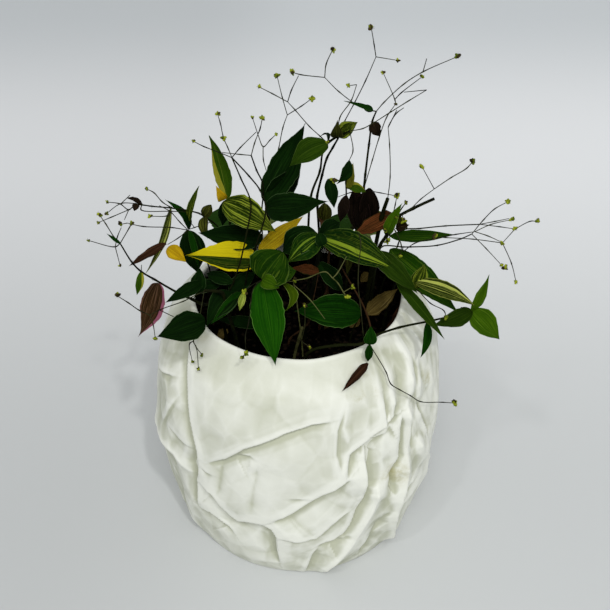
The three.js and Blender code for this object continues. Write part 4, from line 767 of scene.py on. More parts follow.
# Each leaf finish: colours of the ground, deep shade, streaks, edge and underside, then the share
# of streaks and the widths of the two coloured edges, as shares of the blade's width.
LEAF_FINISHES = {
    "dark": ((0.0035, 0.017, 0.0015), (0.0014, 0.007, 0.0007), (0.012, 0.038, 0.005), (0.065, 0.12, 0.04),
             (0.008, 0.022, 0.004), 0.3, 0.014, 0.014),
    "green": ((0.005, 0.04, 0.0009), (0.002, 0.017, 0.0005), (0.016, 0.075, 0.003), (0.09, 0.17, 0.04),
              (0.016, 0.042, 0.006), 0.3, 0.014, 0.014),
    "bright": ((0.009, 0.064, 0.001), (0.0045, 0.04, 0.0006), (0.03, 0.105, 0.004), (0.07, 0.17, 0.025),
               (0.03, 0.07, 0.01), 0.3, 0.016, 0.016),
    "moss": ((0.021, 0.05, 0.0016), (0.009, 0.026, 0.001), (0.05, 0.09, 0.008), (0.07, 0.11, 0.02),
             (0.03, 0.06, 0.01), 0.4, 0.016, 0.016),
    "fresh": ((0.042, 0.096, 0.0014), (0.021, 0.058, 0.001), (0.085, 0.155, 0.01), (0.15, 0.22, 0.05),
              (0.06, 0.1, 0.02), 0.35, 0.018, 0.018),
    "veined": ((0.014, 0.05, 0.001), (0.005, 0.025, 0.0007), (0.08, 0.135, 0.01), (0.09, 0.16, 0.03),
               (0.03, 0.06, 0.01), 0.42, 0.014, 0.014),
    "striped": ((0.015, 0.037, 0.001), (0.007, 0.018, 0.0006), (0.3, 0.37, 0.03), (0.2, 0.26, 0.05),
                (0.08, 0.1, 0.03), 0.62, 0.014, 0.014),
    "margined": ((0.031, 0.079, 0.002), (0.016, 0.048, 0.001), (0.09, 0.13, 0.012), (0.25, 0.24, 0.02),
                 (0.06, 0.09, 0.02), 0.4, 0.016, 0.42),
    "ochre": ((0.38, 0.27, 0.006), (0.2, 0.13, 0.004), (0.5, 0.41, 0.02), (0.4, 0.32, 0.05),
              (0.16, 0.1, 0.01), 0.4, 0.02, 0.012),
    "yellow": ((0.52, 0.34, 0.006), (0.32, 0.19, 0.004), (0.6, 0.45, 0.012), (0.45, 0.3, 0.01),
               (0.3, 0.2, 0.01), 0.4, 0.012, 0.012),
    "half": ((0.015, 0.036, 0.002), (0.007, 0.018, 0.001), (0.2, 0.2, 0.02), (0.52, 0.43, 0.006),
             (0.2, 0.18, 0.02), 0.35, 0.5, 0.07),
    "maroon": ((0.009, 0.0055, 0.003), (0.004, 0.0025, 0.0018), (0.026, 0.015, 0.01), (0.04, 0.02, 0.02),
               (0.12, 0.03, 0.06), 0.3, 0.012, 0.012),
    "plum": ((0.05, 0.026, 0.007), (0.02, 0.01, 0.004), (0.17, 0.09, 0.05), (0.33, 0.1, 0.16),
             (0.3, 0.08, 0.14), 0.5, 0.012, 0.17),
    "brown": ((0.05, 0.018, 0.008), (0.02, 0.009, 0.004), (0.12, 0.06, 0.03), (0.03, 0.012, 0.006),
              (0.07, 0.035, 0.02), 0.35, 0.03, 0.03),
    "olive": ((0.03, 0.034, 0.004), (0.012, 0.013, 0.002), (0.11, 0.12, 0.015), (0.06, 0.05, 0.012),
              (0.05, 0.05, 0.015), 0.5, 0.02, 0.02),
    "yellow_green": ((0.2, 0.26, 0.03), (0.09, 0.13, 0.012), (0.36, 0.4, 0.08), (0.4, 0.42, 0.1),
                     (0.18, 0.22, 0.05), 0.5, 0.03, 0.03),
    "rimmed": ((0.055, 0.1, 0.0012), (0.03, 0.06, 0.001), (0.1, 0.16, 0.01), (0.2, 0.28, 0.05),
               (0.06, 0.1, 0.02), 0.3, 0.05, 0.05),
    "two_stripes": ((0.007, 0.036, 0.002), (0.003, 0.017, 0.001), (0.18, 0.28, 0.02), (0.07, 0.13, 0.02),
                    (0.02, 0.04, 0.01), 0.22, 0.014, 0.014),
    "half_striped": ((0.005, 0.023, 0.0016), (0.002, 0.011, 0.001), (0.21, 0.29, 0.018),
                     (0.09, 0.15, 0.025), (0.03, 0.05, 0.01), 0.18, 0.014, 0.014),
    "yellow_striped": ((0.026, 0.042, 0.003), (0.012, 0.02, 0.002), (0.46, 0.5, 0.1), (0.2, 0.22, 0.04),
                       (0.15, 0.16, 0.03), 0.12, 0.03, 0.03),
    "cream": ((0.16, 0.16, 0.012), (0.09, 0.09, 0.006), (0.3, 0.29, 0.03), (0.2, 0.2, 0.03),
              (0.14, 0.14, 0.03), 0.45, 0.02, 0.02),
    "orange": ((0.085, 0.025, 0.007), (0.03, 0.012, 0.003), (0.24, 0.08, 0.025), (0.02, 0.02, 0.005),
               (0.05, 0.025, 0.012), 0.45, 0.02, 0.1),
    "dark_brown": ((0.018, 0.01, 0.005), (0.008, 0.005, 0.003), (0.06, 0.04, 0.015), (0.03, 0.02, 0.01),
                   (0.04, 0.03, 0.015), 0.3, 0.02, 0.02),
    "dry_tan": ((0.13, 0.092, 0.022), (0.07, 0.048, 0.012), (0.24, 0.18, 0.06), (0.07, 0.04, 0.01),
                (0.1, 0.07, 0.02), 0.4, 0.02, 0.02),
}

# Two bands on a striped blade: place across it and half width of each, as shares of its width.
LEAF_BANDS = {
    "two_stripes": (0.36, 0.045, 0.6, 0.02),
    "half_striped": (0.42, 0.07, 0.26, 0.02),
    "yellow_striped": (0.72, 0.09, 0.35, 0.014),
}

# How far the coloured edges narrow towards the tip, where 1 is to nothing.
EDGE_FADES = {"margined": 0.95}


def leaf_finish(name):
    """One leaf material: the shared markings feed its colour, and its veins a fine bump."""
    *colours, share, low, high = LEAF_FINISHES[name]
    values = (share, low, high, *LEAF_BANDS.get(name, (0, 0, 0, 0)), EDGE_FADES.get(name, 0))
    material, tree, shader = finish_with("leaf_" + name, 0.65, 0.02)
    node = tree.nodes.new("ShaderNodeGroup")
    node.node_tree = LEAF_MARKINGS
    for socket, colour in zip(LEAF_COLOURS, colours):
        node.inputs[socket].default_value = colour + (1,)
    for socket, value in zip(LEAF_VALUES, values):
        node.inputs[socket].default_value = value
    bump = wire(tree, "Bump", {"Height": node.outputs["Veins"], "Strength": 0.6, "Distance": 0.0007})
    return wear(material, tree, shader, node.outputs["Colour"], bump)


# Stems, threads and buds: the light and the dark shade of each.
STEM_COLOURS = {
    "stem_olive": ((0.008, 0.010, 0.002), (0.002, 0.0025, 0.001)),
    "thread_olive": ((0.028, 0.030, 0.011), (0.008, 0.008, 0.004)),
    "stem_pale": ((0.10, 0.105, 0.035), (0.04, 0.045, 0.010)),
    "stub": ((0.06, 0.06, 0.02), (0.02, 0.02, 0.006)),
    "stem_dry": ((0.05, 0.025, 0.010), (0.016, 0.009, 0.005)),
    "bud_yellow_green": ((0.28, 0.32, 0.02), (0.08, 0.11, 0.006)),
    "bud_dry": ((0.06, 0.045, 0.015), (0.015, 0.012, 0.005)),
}


def stem_finish(name):
    """Flecked lengthwise between a light and a dark shade."""
    light, dark = STEM_COLOURS[name]
    material, tree, shader = finish_with(name, 0.7, 0.03)
    place = wire(tree, "TexCoord", out="Object")
    fleck = wire(tree, "TexNoise", {"Vector": place, "Scale": 420, "Detail": 3})
    tone = wire(tree, "Attribute", out="Fac", attribute_name="tone")
    math = calculator(tree)
    share = math("ADD", fleck, math("MULTIPLY_ADD", tone, 0.4, -0.2))
    colour = blend(tree, ramp(tree, share, 0.3, 0.72), light + (1,), dark + (1,))
    bump = wire(tree, "Bump", {"Height": fleck, "Strength": 0.3, "Distance": 0.0002})
    return wear(material, tree, shader, colour, bump)


PLANT_FINISHES = {}


def grow(name, slot, *parts):
    """Puts the skins of one shoot into one piece that stands for the solid of the same name."""
    skins = [skin for part in parts for skin in part]
    names = list(dict.fromkeys(skin["finish"] for skin in skins))
    for finish in names:
        if finish not in PLANT_FINISHES:
            PLANT_FINISHES[finish] = stem_finish(finish) if finish in STEM_COLOURS else leaf_finish(finish)
    starts = np.cumsum([0] + [len(skin["points"]) for skin in skins])
    points = np.vstack([skin["points"] for skin in skins])
    quads = np.vstack([skin["quads"] + start for skin, start in zip(skins, starts)])
    fans = np.vstack([skin["fans"] + start for skin, start in zip(skins, starts)])
    finishes = np.concatenate([np.full(len(skin["quads"]), names.index(skin["finish"])) for skin in skins]
                              + [np.full(len(skin["fans"]), names.index(skin["finish"])) for skin in skins])
    marks = {key: np.concatenate([skin[key] for skin in skins]) for key in ("tone", "under")}
    uv = np.vstack([skin["uv"] for skin in skins])
    piece = make_piece("grown_" + name, points, quads, fans, [PLANT_FINISHES[each] for each in names],
                       finishes, uv, marks)
    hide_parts(name)
    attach(piece, "root")


# The tallest stem, right of the middle, with long flower threads that fork.
grow("shoot_tall_right", "green_leaf",
     rooted([(22, 12, 116), (29, 14, 176), (29.5, 15, 183), (30.5, 16, 197), (31.5, 17, 207.5),
             (33, 18, 211.5)], 0.6, 0.32),
     thread([(33, 18, 211.5), (36, 18, 215.5), (43.5, 16, 224.5), (50.5, 14, 230.5), (63, 10, 238.5)], 3),
     thread([(50.5, 14, 230.5), (51.5, 14, 236)]),
     thread([(33, 18, 211.5), (31.5, 17.5, 212), (26, 16, 214.5), (17, 14, 222), (11, 12, 229)]),
     thread([(11, 12, 229), (11.5, 12, 234.5), (14, 12, 240.5)], 3),
     thread([(11, 12, 229), (1.5, 10, 231), (-2, 10, 232)], 3),
     leaf((31.5, 17.5, 212), (19, 14, 218), 2.5, 1.5, 20, "green", 1),
     leaf((31.5, 17.5, 212), (26.5, 19, 214), 3, -2, -20, "green"),
     thread([(29, 14, 176), (32.5, 18, 188.5), (35, 20, 198), (38, 22, 207), (41.5, 23, 212.5)], 1.6),
     thread([(41.5, 23, 212.5), (41, 23, 214.5), (35.5, 24, 226)], 2.2),
     thread([(41, 23, 214.5), (43.5, 23, 217.5), (51.5, 22, 225)], 2.2),
     thread([(29, 14, 176), (36.5, 13, 175), (43.5, 12, 174)], 3),
     thread([(29, 14, 176), (23, 14, 174.5), (17, 14, 172)]))
grow("leaf_brown_upper", "dry_brown", leaf((32, 16.5, 207.5), (34.5, 14, 202), 5, 2, 20, "dark_brown"))
grow("leaf_maroon_center", "maroon_leaf",
     leaf((25, 13, 177), (27, 14, 153), 9, 1.5, -6, "maroon"),
     leaf((31.5, 12, 178), (32.5, 16.5, 153.5), 9, 1.5, 6, "maroon"),
     leaf((27.5, 12.5, 174.5), (29.5, 15.5, 152), 7.5, 1.5, 0, "maroon"))

# Two stems behind the middle that meet at a leafy knot under the highest sprays.
grow("shoot_tall_middle", "green_leaf",
     rooted([(5, 4, 116), (5.5, 6, 176.5), (9.5, 7, 189.5), (10.5, 8, 197.5), (12.5, 8, 202)], 0.6, 0.32),
     rooted([(12, 13, 116), (8.5, 12, 171), (8.5, 12, 174), (10.5, 12.5, 184), (12.5, 12.5, 192.5),
             (15, 12, 198), (17, 10, 204), (12.5, 8, 202)], 0.6, 0.36),
     stem([(12.5, 8, 202), (16.5, 9, 204.5), (21.5, 7, 208)], 0.6, 0.36),
     thread([(21.5, 7, 208), (26.5, 5, 210), (30, 4, 212.5), (37, 3, 218), (44, 2, 223.5), (50.5, 0, 229)]),
     thread([(50.5, 0, 229), (41.5, -2, 229)]),
     bud((12.5, 8, 202), 2.6),
     leaf((17, 10, 204), (25, 12, 209.5), 6.5, 2, 20, "striped", 1),
     leaf((17, 10, 204), (16.5, 8, 212.5), 5.5, 3, -15, "olive"),
     leaf((12.5, 8, 202), (-3.5, 2, 194), 10, 2, 0, "moss", -1),
     leaf((12.5, 8, 202), (9, 10, 203.5), 4, 3, 60, "dark"),
     thread([(12.5, 8, 202), (9.5, 10, 204), (5, 11, 208), (-1, 12, 215), (-4, 12, 218.5)]),
     thread([(-4, 12, 218.5), (-10, 12, 222), (-15.5, 12, 225)], 2.2),
     thread([(-4, 12, 218.5), (-2.5, 14, 222.5), (0.5, 15, 228.5)]),
     thread([(17, 10, 204), (19.5, 14, 208.5), (23.5, 16, 216), (28, 20, 224), (32, 22, 233.5)]),
     thread([(32, 22, 233.5), (31, 22, 238.5), (29.5, 22, 245.5)], 3.2),
     thread([(32, 22, 233.5), (41, 22, 232)], 2),
     thread([(17, 10, 204), (17.5, 12, 211.5), (22, 13, 218.5), (24, 13, 225.5)]),
     thread([(24, 13, 225.5), (20.5, 12, 225.5)], 2),
     thread([(21.5, 7, 208), (23, 4, 200.5), (21.5, 3, 196.5)]),
     stem([(21.5, 3, 196.5), (20.5, 3, 189.5), (21, 6, 178)], 0.36, 0.36),
     leaf((21.5, 3, 196.5), (16.5, 0, 187), 5.5, 2, -40, "dark"),
     thread([(20.5, 3, 189.5), (18, 1, 188), (15.5, 1, 189), (15, 0, 189)], 3.6),
     leaf((13, 1, 189), (15.5, -4, 177.5), 5.5, 2, 10, "dark", 0.5),
     leaf((12, 10, 171.5), (11.5, 8, 162), 6.5, 2, 0, "olive"),
     leaf((21, 6, 178), (18.5, 3, 166), 5, 2, 0, "maroon"),
     thread([(15.5, 1, 189), (13, 1, 189)]),
     thread([(8.5, 12, 171), (12, 10, 171.5)]))
grow("bract_yellow", "yellow_leaf",
     leaf((21.5, 4.5, 182), (23.5, 7, 193.5), 4, 1.5, 0, "cream"),
     leaf((21, 5.5, 183.5), (29.5, 5, 180), 4.5, 1, 0, "margined"))

# The big dark leaves that stand up left of the middle, and their flower thread.
grow("shoot_upright_leaves", "green_leaf",
     rooted([(-14, 14, 116), (-13.5, 14, 163), (-14.5, 14, 170)], 0.7, 0.6),
     leaf((-14.5, 14, 170), (3, 22, 204), 15, -4, -12, "dark"),
     leaf((-14, 17, 168), (1.5, 26, 182.5), 11.5, 3, 25, "dark"),
     leaf((-14, 9, 169.5), (13, -3, 180.5), 13, 2, 0, "dark", -1.5),
     thread([(-14.5, 14, 170), (-14, 17, 168), (-12, 22, 177.5), (-8.5, 24, 191), (-6.5, 25, 200.5),
             (-4.5, 25, 206.5)]),
     thread([(-4.5, 25, 206.5), (-6.5, 25, 214.5), (-8.5, 24, 224.5)], 2.8),
     thread([(-4.5, 25, 206.5), (1.5, 24, 211), (6, 24, 214.5)], 3),
     thread([(-14.5, 14, 170), (-14, 9, 169.5)]))

# Left shoots: live green stems that rise left of the middle and lean or arch outwards, with open
# sprays of flower threads and a few narrow leaves. A maroon, a brown and two yellow leaves stand on
# them and are pieces of their own. Each stem is rooted in the soil like the tall ones.

# Two thin stems that cross and end in one open spray, with two dark leaves low down.
grow("shoot_left_sprays", "green_leaf",
     rooted([(-20, -16, 116), (-22.5, -21, 149.5), (-17, -21, 170.5), (-13, -14, 183),
             (-15.5, -6, 187.5), (-20, -3, 192.5), (-27, 0, 199.5)], 0.36, 0.29),
     rooted([(-29, -18, 116), (-29.5, -22, 146.5), (-27.5, -22.5, 152), (-24, -23, 163),
             (-21, -18, 174.5), (-19.5, -8, 183), (-23.5, -3, 191.5), (-27, 0, 199.5)], 0.36, 0.29),
     thread([(-27, 0, 199.5), (-23.5, 2, 203), (-17, 6, 208)]),
     thread([(-27, 0, 199.5), (-32.5, 1, 201.5), (-38, 0, 204.5), (-42, -2, 208)], 2),
     thread([(-27, 0, 199.5), (-28.5, 1, 203.5), (-30, 1, 208), (-31, 2, 214), (-32, 3, 217.5)], 2.4),
     bud((-30, 1, 208), 2.6),
     leaf((-29.5, -22, 146.5), (-18, -14, 151.5), 7.5, 2, 0, "dark"),
     leaf((-27.5, -22.5, 152), (-40, -14, 150.5), 5.5, 2, 0, "dark"))

# A thin stem with a branching spray and one dark leaf behind the yellow one.
grow("shoot_left_middle", "green_leaf",
     rooted([(-12, -4, 116), (-17, -7.5, 155), (-15.5, -5, 163), (-15.5, -4, 174), (-14.5, -2, 188),
             (-17, 0, 193.5), (-19, 0, 200.5)], 0.36, 0.29),
     thread([(-19, 0, 200.5), (-23.5, -1, 201.5), (-30.5, -4, 204)]),
     thread([(-19, 0, 200.5), (-17.5, 1, 205.5), (-16, 1, 209.5)]),
     thread([(-16, 1, 209.5), (-18, 2, 216.5)], 1.8),
     thread([(-16, 1, 209.5), (-15, 1, 212), (-14, 1, 216.5)], 2.6),
     thread([(-16, 1, 209.5), (-14, 0, 204.5), (-11, -2, 208.5), (-8.5, -3, 211.5)], 1.8),
     thread([(-14, 0, 204.5), (-14, -1, 199), (-13, -1, 194)]),
     leaf((-15.5, -5, 163), (-42.5, -8, 168), 11.5, 1, 0, "dark", 1))

# A straight stem left of the middle, with a striped leaf and one with a yellow edge.
grow("shoot_upright_striped", "green_leaf",
     rooted([(-26, 2, 116), (-29.5, -2, 154.5), (-29.5, -1, 168.5), (-30, 0, 179.5)], 0.6, 0.36),
     leaf((-30, 0, 179.5), (-36.5, 6, 206.5), 7.5, -3, -20, "margined", -0.5),
     leaf((-31.5, -3, 180), (-9, -13, 171.5), 13, 3, 0, "striped"),
     leaf((-30, 0, 179.5), (-33, 0, 166), 5.5, 1, 0, "dark"),
     thread([(-30, 0, 179.5), (-31.5, -3, 180)]))
grow("lobe_yellow_upper", "yellow_leaf", leaf((-31.5, -3, 181), (-34, -4.5, 189), 4.5, 2.5, 0, "yellow"))

# A long stem that arches far out to the left, with sprays and narrow leaves.
grow("shoot_left_long", "green_leaf",
     rooted([(-34, 8, 116), (-34, 4, 160), (-37.5, 2, 167), (-40.5, 0.5, 170.5), (-42.5, 0, 172.5),
             (-49, -1, 175), (-50.5, -1.5, 175.5), (-54, -2, 176.5), (-62, -3, 178), (-66, -3.5, 179),
             (-67.5, -4, 179.5), (-68.5, -4, 180)], 0.36, 0.25),
     thread([(-68.5, -4, 180), (-71.5, -5, 177.5), (-74.5, -6, 181), (-79.5, -7, 182.5)], 1.8),
     thread([(-71.5, -5, 177.5), (-79, -6, 174.5), (-84.5, -8, 173)], 1.8),
     thread([(-71.5, -5, 177.5), (-74, -5, 172.5)]),
     thread([(-68.5, -4, 180), (-74.5, -4, 180), (-81.5, -4, 175)], 2.2),
     thread([(-74.5, -4, 180), (-70.5, -3, 183.5)]),
     leaf((-66, -3.5, 179), (-72.5, -2, 181.5), 2.5, 1, 30, "dark_brown"),
     leaf((-67.5, -4, 179.5), (-69, -6, 177.5), 3, 1, 0, "dark_brown"),
     thread([(-50.5, -1.5, 175.5), (-55, 2, 174.5), (-58.5, 3, 176.5), (-61.5, 3, 181),
             (-64.5, 3, 183)], 2.2),
     thread([(-66, -3.5, 179), (-66, -6, 178), (-54, -3, 175.5), (-48, -2, 174.5)]),
     leaf((-48, 2, 163), (-56.5, 0, 179.5), 4.5, 4, 30, "green"),
     leaf((-47, 0, 168.5), (-41, -3, 188), 4.5, 1.5, -30, "striped", -0.5),
     leaf((-54, -2, 176.5), (-67, -10, 148), 4, -1.5, 20, "yellow_striped", 1.5),
     thread([(-54, -3, 175.5), (-55.5, -4, 174), (-62.5, -7, 175.5)], 2.4),
     leaf((-40.5, 0.5, 170.5), (-37.5, 4, 174.5), 5, 1, 0, "olive"),
     leaf((-40.5, 0.5, 170.5), (-39, -6, 163.5), 5, 2, 20, "olive"),
     thread([(-37.5, 2, 167), (-45.5, 2, 164), (-48, 2, 163)]),
     thread([(-45.5, 2, 164), (-47, 0, 168.5)]))

# A stem on the left that forks into threads at its top, with a hanging dark leaf.
grow("shoot_left_fork", "green_leaf",
     rooted([(-37, -3, 116), (-41, -6, 156.5), (-44, -6, 165), (-47, -7, 168.5)], 0.36, 0.29),
     thread([(-47, -7, 168.5), (-53.5, -8, 170.5), (-65, -11, 173), (-71, -13, 176)]),
     thread([(-71, -13, 176), (-73.5, -14, 176)], 2.8),
     thread([(-47, -7, 168.5), (-50, -7, 172.5), (-53.5, -8, 178.5), (-57.5, -9, 182)]),
     leaf((-47, -7, 168.5), (-44, -12, 149.5), 11, 1.5, -10, "dark"),
     thread([(-47, -7, 168.5), (-51, -10, 166.5), (-55.5, -12, 164.5)]),
     leaf((-46, -9, 169.5), (-42.5, -16, 155), 3, 1, -10, "green"),
     thread([(-47, -7, 168.5), (-46, -9, 169.5)]))

# The lowest stem on the left, which sweeps out and up again.
grow("shoot_left_low", "green_leaf",
     rooted([(-33, -16, 116), (-36.5, -20, 137.5), (-41.5, -22, 140), (-45.5, -22, 142.5),
             (-48, -22, 144), (-52, -22, 146.5), (-61, -22, 153.5), (-66, -22, 157.5),
             (-69.5, -21, 161.5), (-73.5, -20, 170.5)], 0.7, 0.29),
     thread([(-73.5, -20, 170.5), (-75.5, -20, 173.5), (-78, -20, 180), (-80, -20, 184.5)], 2.8),
     leaf((-73.5, -20, 170.5), (-78.5, -20, 175.5), 1.5, 0.8, 0, "green"),
     thread([(-73.5, -20, 170.5), (-75.5, -21, 169.5), (-85.5, -23, 174)], 1.8),
     thread([(-75.5, -21, 169.5), (-74.5, -22, 160.5)], 1.8),
     thread([(-75.5, -21, 169.5), (-74.5, -19, 173), (-72.5, -18, 177)]),
     thread([(-73.5, -20, 170.5), (-69, -19, 177.5), (-68, -18, 179)], 2.6),
     leaf((-66, -22, 157.5), (-68.5, -26, 148), 3.5, 1.5, -20, "margined"),
     thread([(-66, -22, 157.5), (-65.5, -22, 161)]),
     leaf((-43, -21, 146), (-42, -16, 155), 7, 1, 0, "dark"),
     leaf((-41, -19, 149.5), (-56.5, -28, 145.5), 6, 3, 0, "dark", 0.5),
     leaf((-46.5, -21, 147), (-31.5, -16, 147), 6, 2, 0, "dark"),
     thread([(-45.5, -22, 142.5), (-43, -21, 146)]),
     thread([(-43, -21, 146), (-41, -19, 149.5)]),
     thread([(-48, -22, 144), (-46.5, -21, 147)]))
grow("leaf_maroon_left", "maroon_leaf", leaf((-59, -23.5, 152.5), (-69, -32, 130), 11.5, -4, 12, "plum"))
grow("leaf_brown_left", "dry_brown", leaf((-56, -12, 165), (-72, -18, 157.5), 4, 1, 10, "brown", 0.5))
grow("lobe_yellow_left", "yellow_leaf", leaf((-55.5, -12, 163), (-47.5, -17, 159), 6.5, 1.5, 0, "yellow"))

# Front and middle shoots: short live stems that stand in the soil near the front and carry the
# broadest leaves, some of which hang over the rim. Two yellow leaves, a pale spray and a pale stub
# are pieces of their own.

# Front left: the dark leaf over the rim and the threads below it.
grow("shoot_left_front", "green_leaf",
     rooted([(-26, -28, 116), (-30.5, -31.5, 148), (-31.5, -32, 154), (-38.5, -33, 156)], 0.8, 0.6),
     thread([(-31.5, -32, 154), (-39, -33, 155), (-47.5, -34, 151), (-57.5, -36, 148), (-61.5, -37, 146)]),
     thread([(-61.5, -37, 146), (-65.5, -37, 148.5), (-69.5, -38, 153.5), (-73.5, -38, 157)], 3.2),
     thread([(-57.5, -36, 148), (-51.5, -38, 146)]),
     thread([(-61.5, -37, 146), (-60.5, -38, 141.5), (-60, -40, 135.5)], 2.4),
     leaf((-38.5, -38, 144), (-57.5, -48, 143.5), 12.5, 2.5, 0, "dark", 0.5),
     leaf((-26, -26, 149), (-38, -40, 142), 11, 4, 15, "dark"),
     leaf((-24, -28, 151), (-36, -42, 145), 5, 1, -10, "green"),
     thread([(-38.5, -33, 156), (-41.5, -37, 142), (-42, -44, 141.5), (-43, -46, 139.5),
             (-42, -46.5, 136.5), (-42.5, -44, 122)], 2),
     thread([(-42, -46.5, 136.5), (-41, -40, 126.5)], 1.8),
     thread([(-43, -46, 139.5), (-44.5, -46, 138.5), (-45.5, -40, 122.5)], 1.8),
     thread([(-41.5, -37, 142), (-38.5, -38, 144)]),
     thread([(-30.5, -31.5, 148), (-26, -26, 149)]),
     thread([(-26, -26, 149), (-24, -28, 151)]))

# The round leaf and the big green leaf that hangs over the front rim.
grow("shoot_front", "green_leaf",
     rooted([(-13, -26, 116), (-14, -28.5, 133.5), (-15, -31, 151.5), (-14.5, -31, 160)], 0.8, 0.6),
     leaf((-14, -28.5, 133.5), (-36, -23, 132.5), 5.5, 1, 0, "dark"),
     leaf((-14.5, -31, 160), (-9, -54, 133), 14, -3, 0, "bright"),
     leaf((-14.5, -31, 160), (-6, -24, 169), 18, 3, 0, "veined"),
     leaf((-14.5, -31, 160), (-7.5, -35, 158.5), 6.5, 2, 0, "fresh"),
     leaf((-12, -30.5, 161), (-0.5, -27, 161.5), 9, 2.5, 0, "veined"),
     leaf((-7, -28, 157), (-6, -36, 146.5), 4, 2, 0, "rimmed", 5),
     leaf((-22, -34, 155.5), (-24, -38, 149), 3, 1, 0, "yellow_green"),
     thread([(-14.5, -31, 160), (-18, -34, 158), (-19, -38, 154.5), (-20, -44, 147.5), (-21, -50, 146),
             (-21, -52.5, 138.5)], 2.6),
     bud((-22.5, -53.5, 137), 2.6),
     thread([(-14.5, -31, 160), (-19.5, -33, 158), (-22, -34, 155.5)], 3.4),
     thread([(-14.5, -31, 160), (-12, -30.5, 161)]),
     thread([(-12, -30.5, 161), (-7, -28, 157)]),
     thread([(-21, -52.5, 138.5), (-22.5, -53.5, 137)]))
grow("leaf_half_yellow", "yellow_leaf", leaf((-17.5, -9, 154.5), (-47, -20, 164.5), 13, 2.5, 0, "half"))
grow("leaf_yellow_upper", "yellow_leaf", leaf((-17, -7.5, 157.5), (2.5, -6, 175), 7.5, 0, 10, "ochre"))

# The middle: long leaves that arch to the right from one knot.
grow("shoot_center", "green_leaf",
     rooted([(3, -14, 116), (8.5, -14, 156.5), (9.5, -13, 169.5)], 0.9, 0.7),
     leaf((9.5, -13, 169.5), (-4.5, -20, 160.5), 11, 3, 0, "two_stripes"),
     leaf((8, -12, 170.5), (-6.5, -12, 160.5), 12.5, 4, 0, "dark"),
     leaf((9.5, -13, 169.5), (42, -24, 159), 12.5, 8, 0, "half_striped"),
     leaf((32, -19, 165.5), (50, -33, 154), 8.5, 2, 0, "moss"),
     leaf((9, -14, 171.5), (10.5, -17, 165.5), 5, 3, 0, "dark"),
     leaf((41.5, -26, 155.5), (61.5, -43, 137.5), 5, 0, 10, "moss", 0.5),
     leaf((9.5, -13, 169.5), (18, -6, 172), 7, 3, 0, "dark"),
     leaf((8.5, -14, 156.5), (20.5, -9, 136.5), 7.5, 2, 0, "dark"),
     leaf((22.5, -20, 169), (21, -17, 152), 3, 1, 0, "olive"),
     stem([(9.5, -13, 169.5), (22.5, -20, 169), (32.5, -22, 165.5), (43, -24, 156),
           (51.5, -26, 150)], 0.36, 0.29),
     thread([(51.5, -26, 150), (56, -31, 147.5), (61, -36, 147.5), (62, -37, 144.5)], 2.8),
     thread([(9.5, -13, 169.5), (8, -12, 170.5)]),
     thread([(32.5, -22, 165.5), (32, -19, 165.5)]),
     thread([(9.5, -13, 169.5), (9, -14, 171.5)]),
     thread([(43, -24, 156), (41.5, -26, 155.5)]))

# A broad leaf low over the soil, on its own thin stalk.
grow("leaf_broad_front", "green_leaf",
     rooted([(24, -16, 116), (28, -18, 131.5)], 0.36, 0.29),
     leaf((28, -18, 131.5), (-2, -20, 134.5), 15, 5, 0, "green"))

# A pale branching spray low in the middle.
grow("spray_pale_front", "pale_stem",
     rooted([(2, -26, 116), (-1, -27, 151.5)], 0.29, 0.25, "stem_pale"),
     thread([(-1, -27, 151.5), (-1.5, -27.5, 154.5), (-1.5, -27.5, 156.5), (4, -28, 158.5),
             (11.5, -29, 162.5), (14.5, -30, 160), (16.5, -31, 158.5), (19, -33, 155),
             (20.5, -34, 153)], 3, finish="stem_pale"),
     bud((22.5, -34, 158.5), 2.8),
     thread([(14.5, -30, 160), (16.5, -29, 162), (20, -28, 169.5)], finish="stem_pale"),
     thread([(-1.5, -27.5, 156.5), (-6.5, -27, 156)], finish="stem_pale"),
     bud((-1.5, -27.5, 157), 2.6),
     thread([(-1.5, -27.5, 154.5), (5, -30, 149), (11.5, -34, 141.5)], finish="stem_pale"),
     thread([(19, -33, 155), (22.5, -34, 158.5)], finish="stem_pale"))

# A short pale stub at the front with two flower threads.
grow("stub_pale", "pale_stem",
     rooted([(-2, -33, 116), (0.5, -33.5, 130), (2, -34, 137)], 0.7, 0.6, "stub"),
     thread([(0.5, -33.5, 130), (1.5, -34.5, 129.5), (5, -37, 128.5)], 2.4, finish="thread_olive"),
     thread([(1.5, -34.5, 129.5), (3, -36, 140), (3, -37, 151)], 2.4, finish="thread_olive"))

# A single thread that stands up at the front right.
grow("thread_upright_front", "green_leaf",
     rooted([(17, -30, 116), (28, -36, 133.5)], 0.29, 0.25),
     thread([(28, -36, 133.5), (26.5, -34, 146.5), (25, -32, 158.5), (25, -30, 166.5), (25.5, -27, 177),
             (24, -25, 180)]))

# Right shoots: live stems that lean or arch to the right, from a stout one with many buds to thin
# ones that reach far out. A dried leaf and a yellow striped one are pieces of their own.

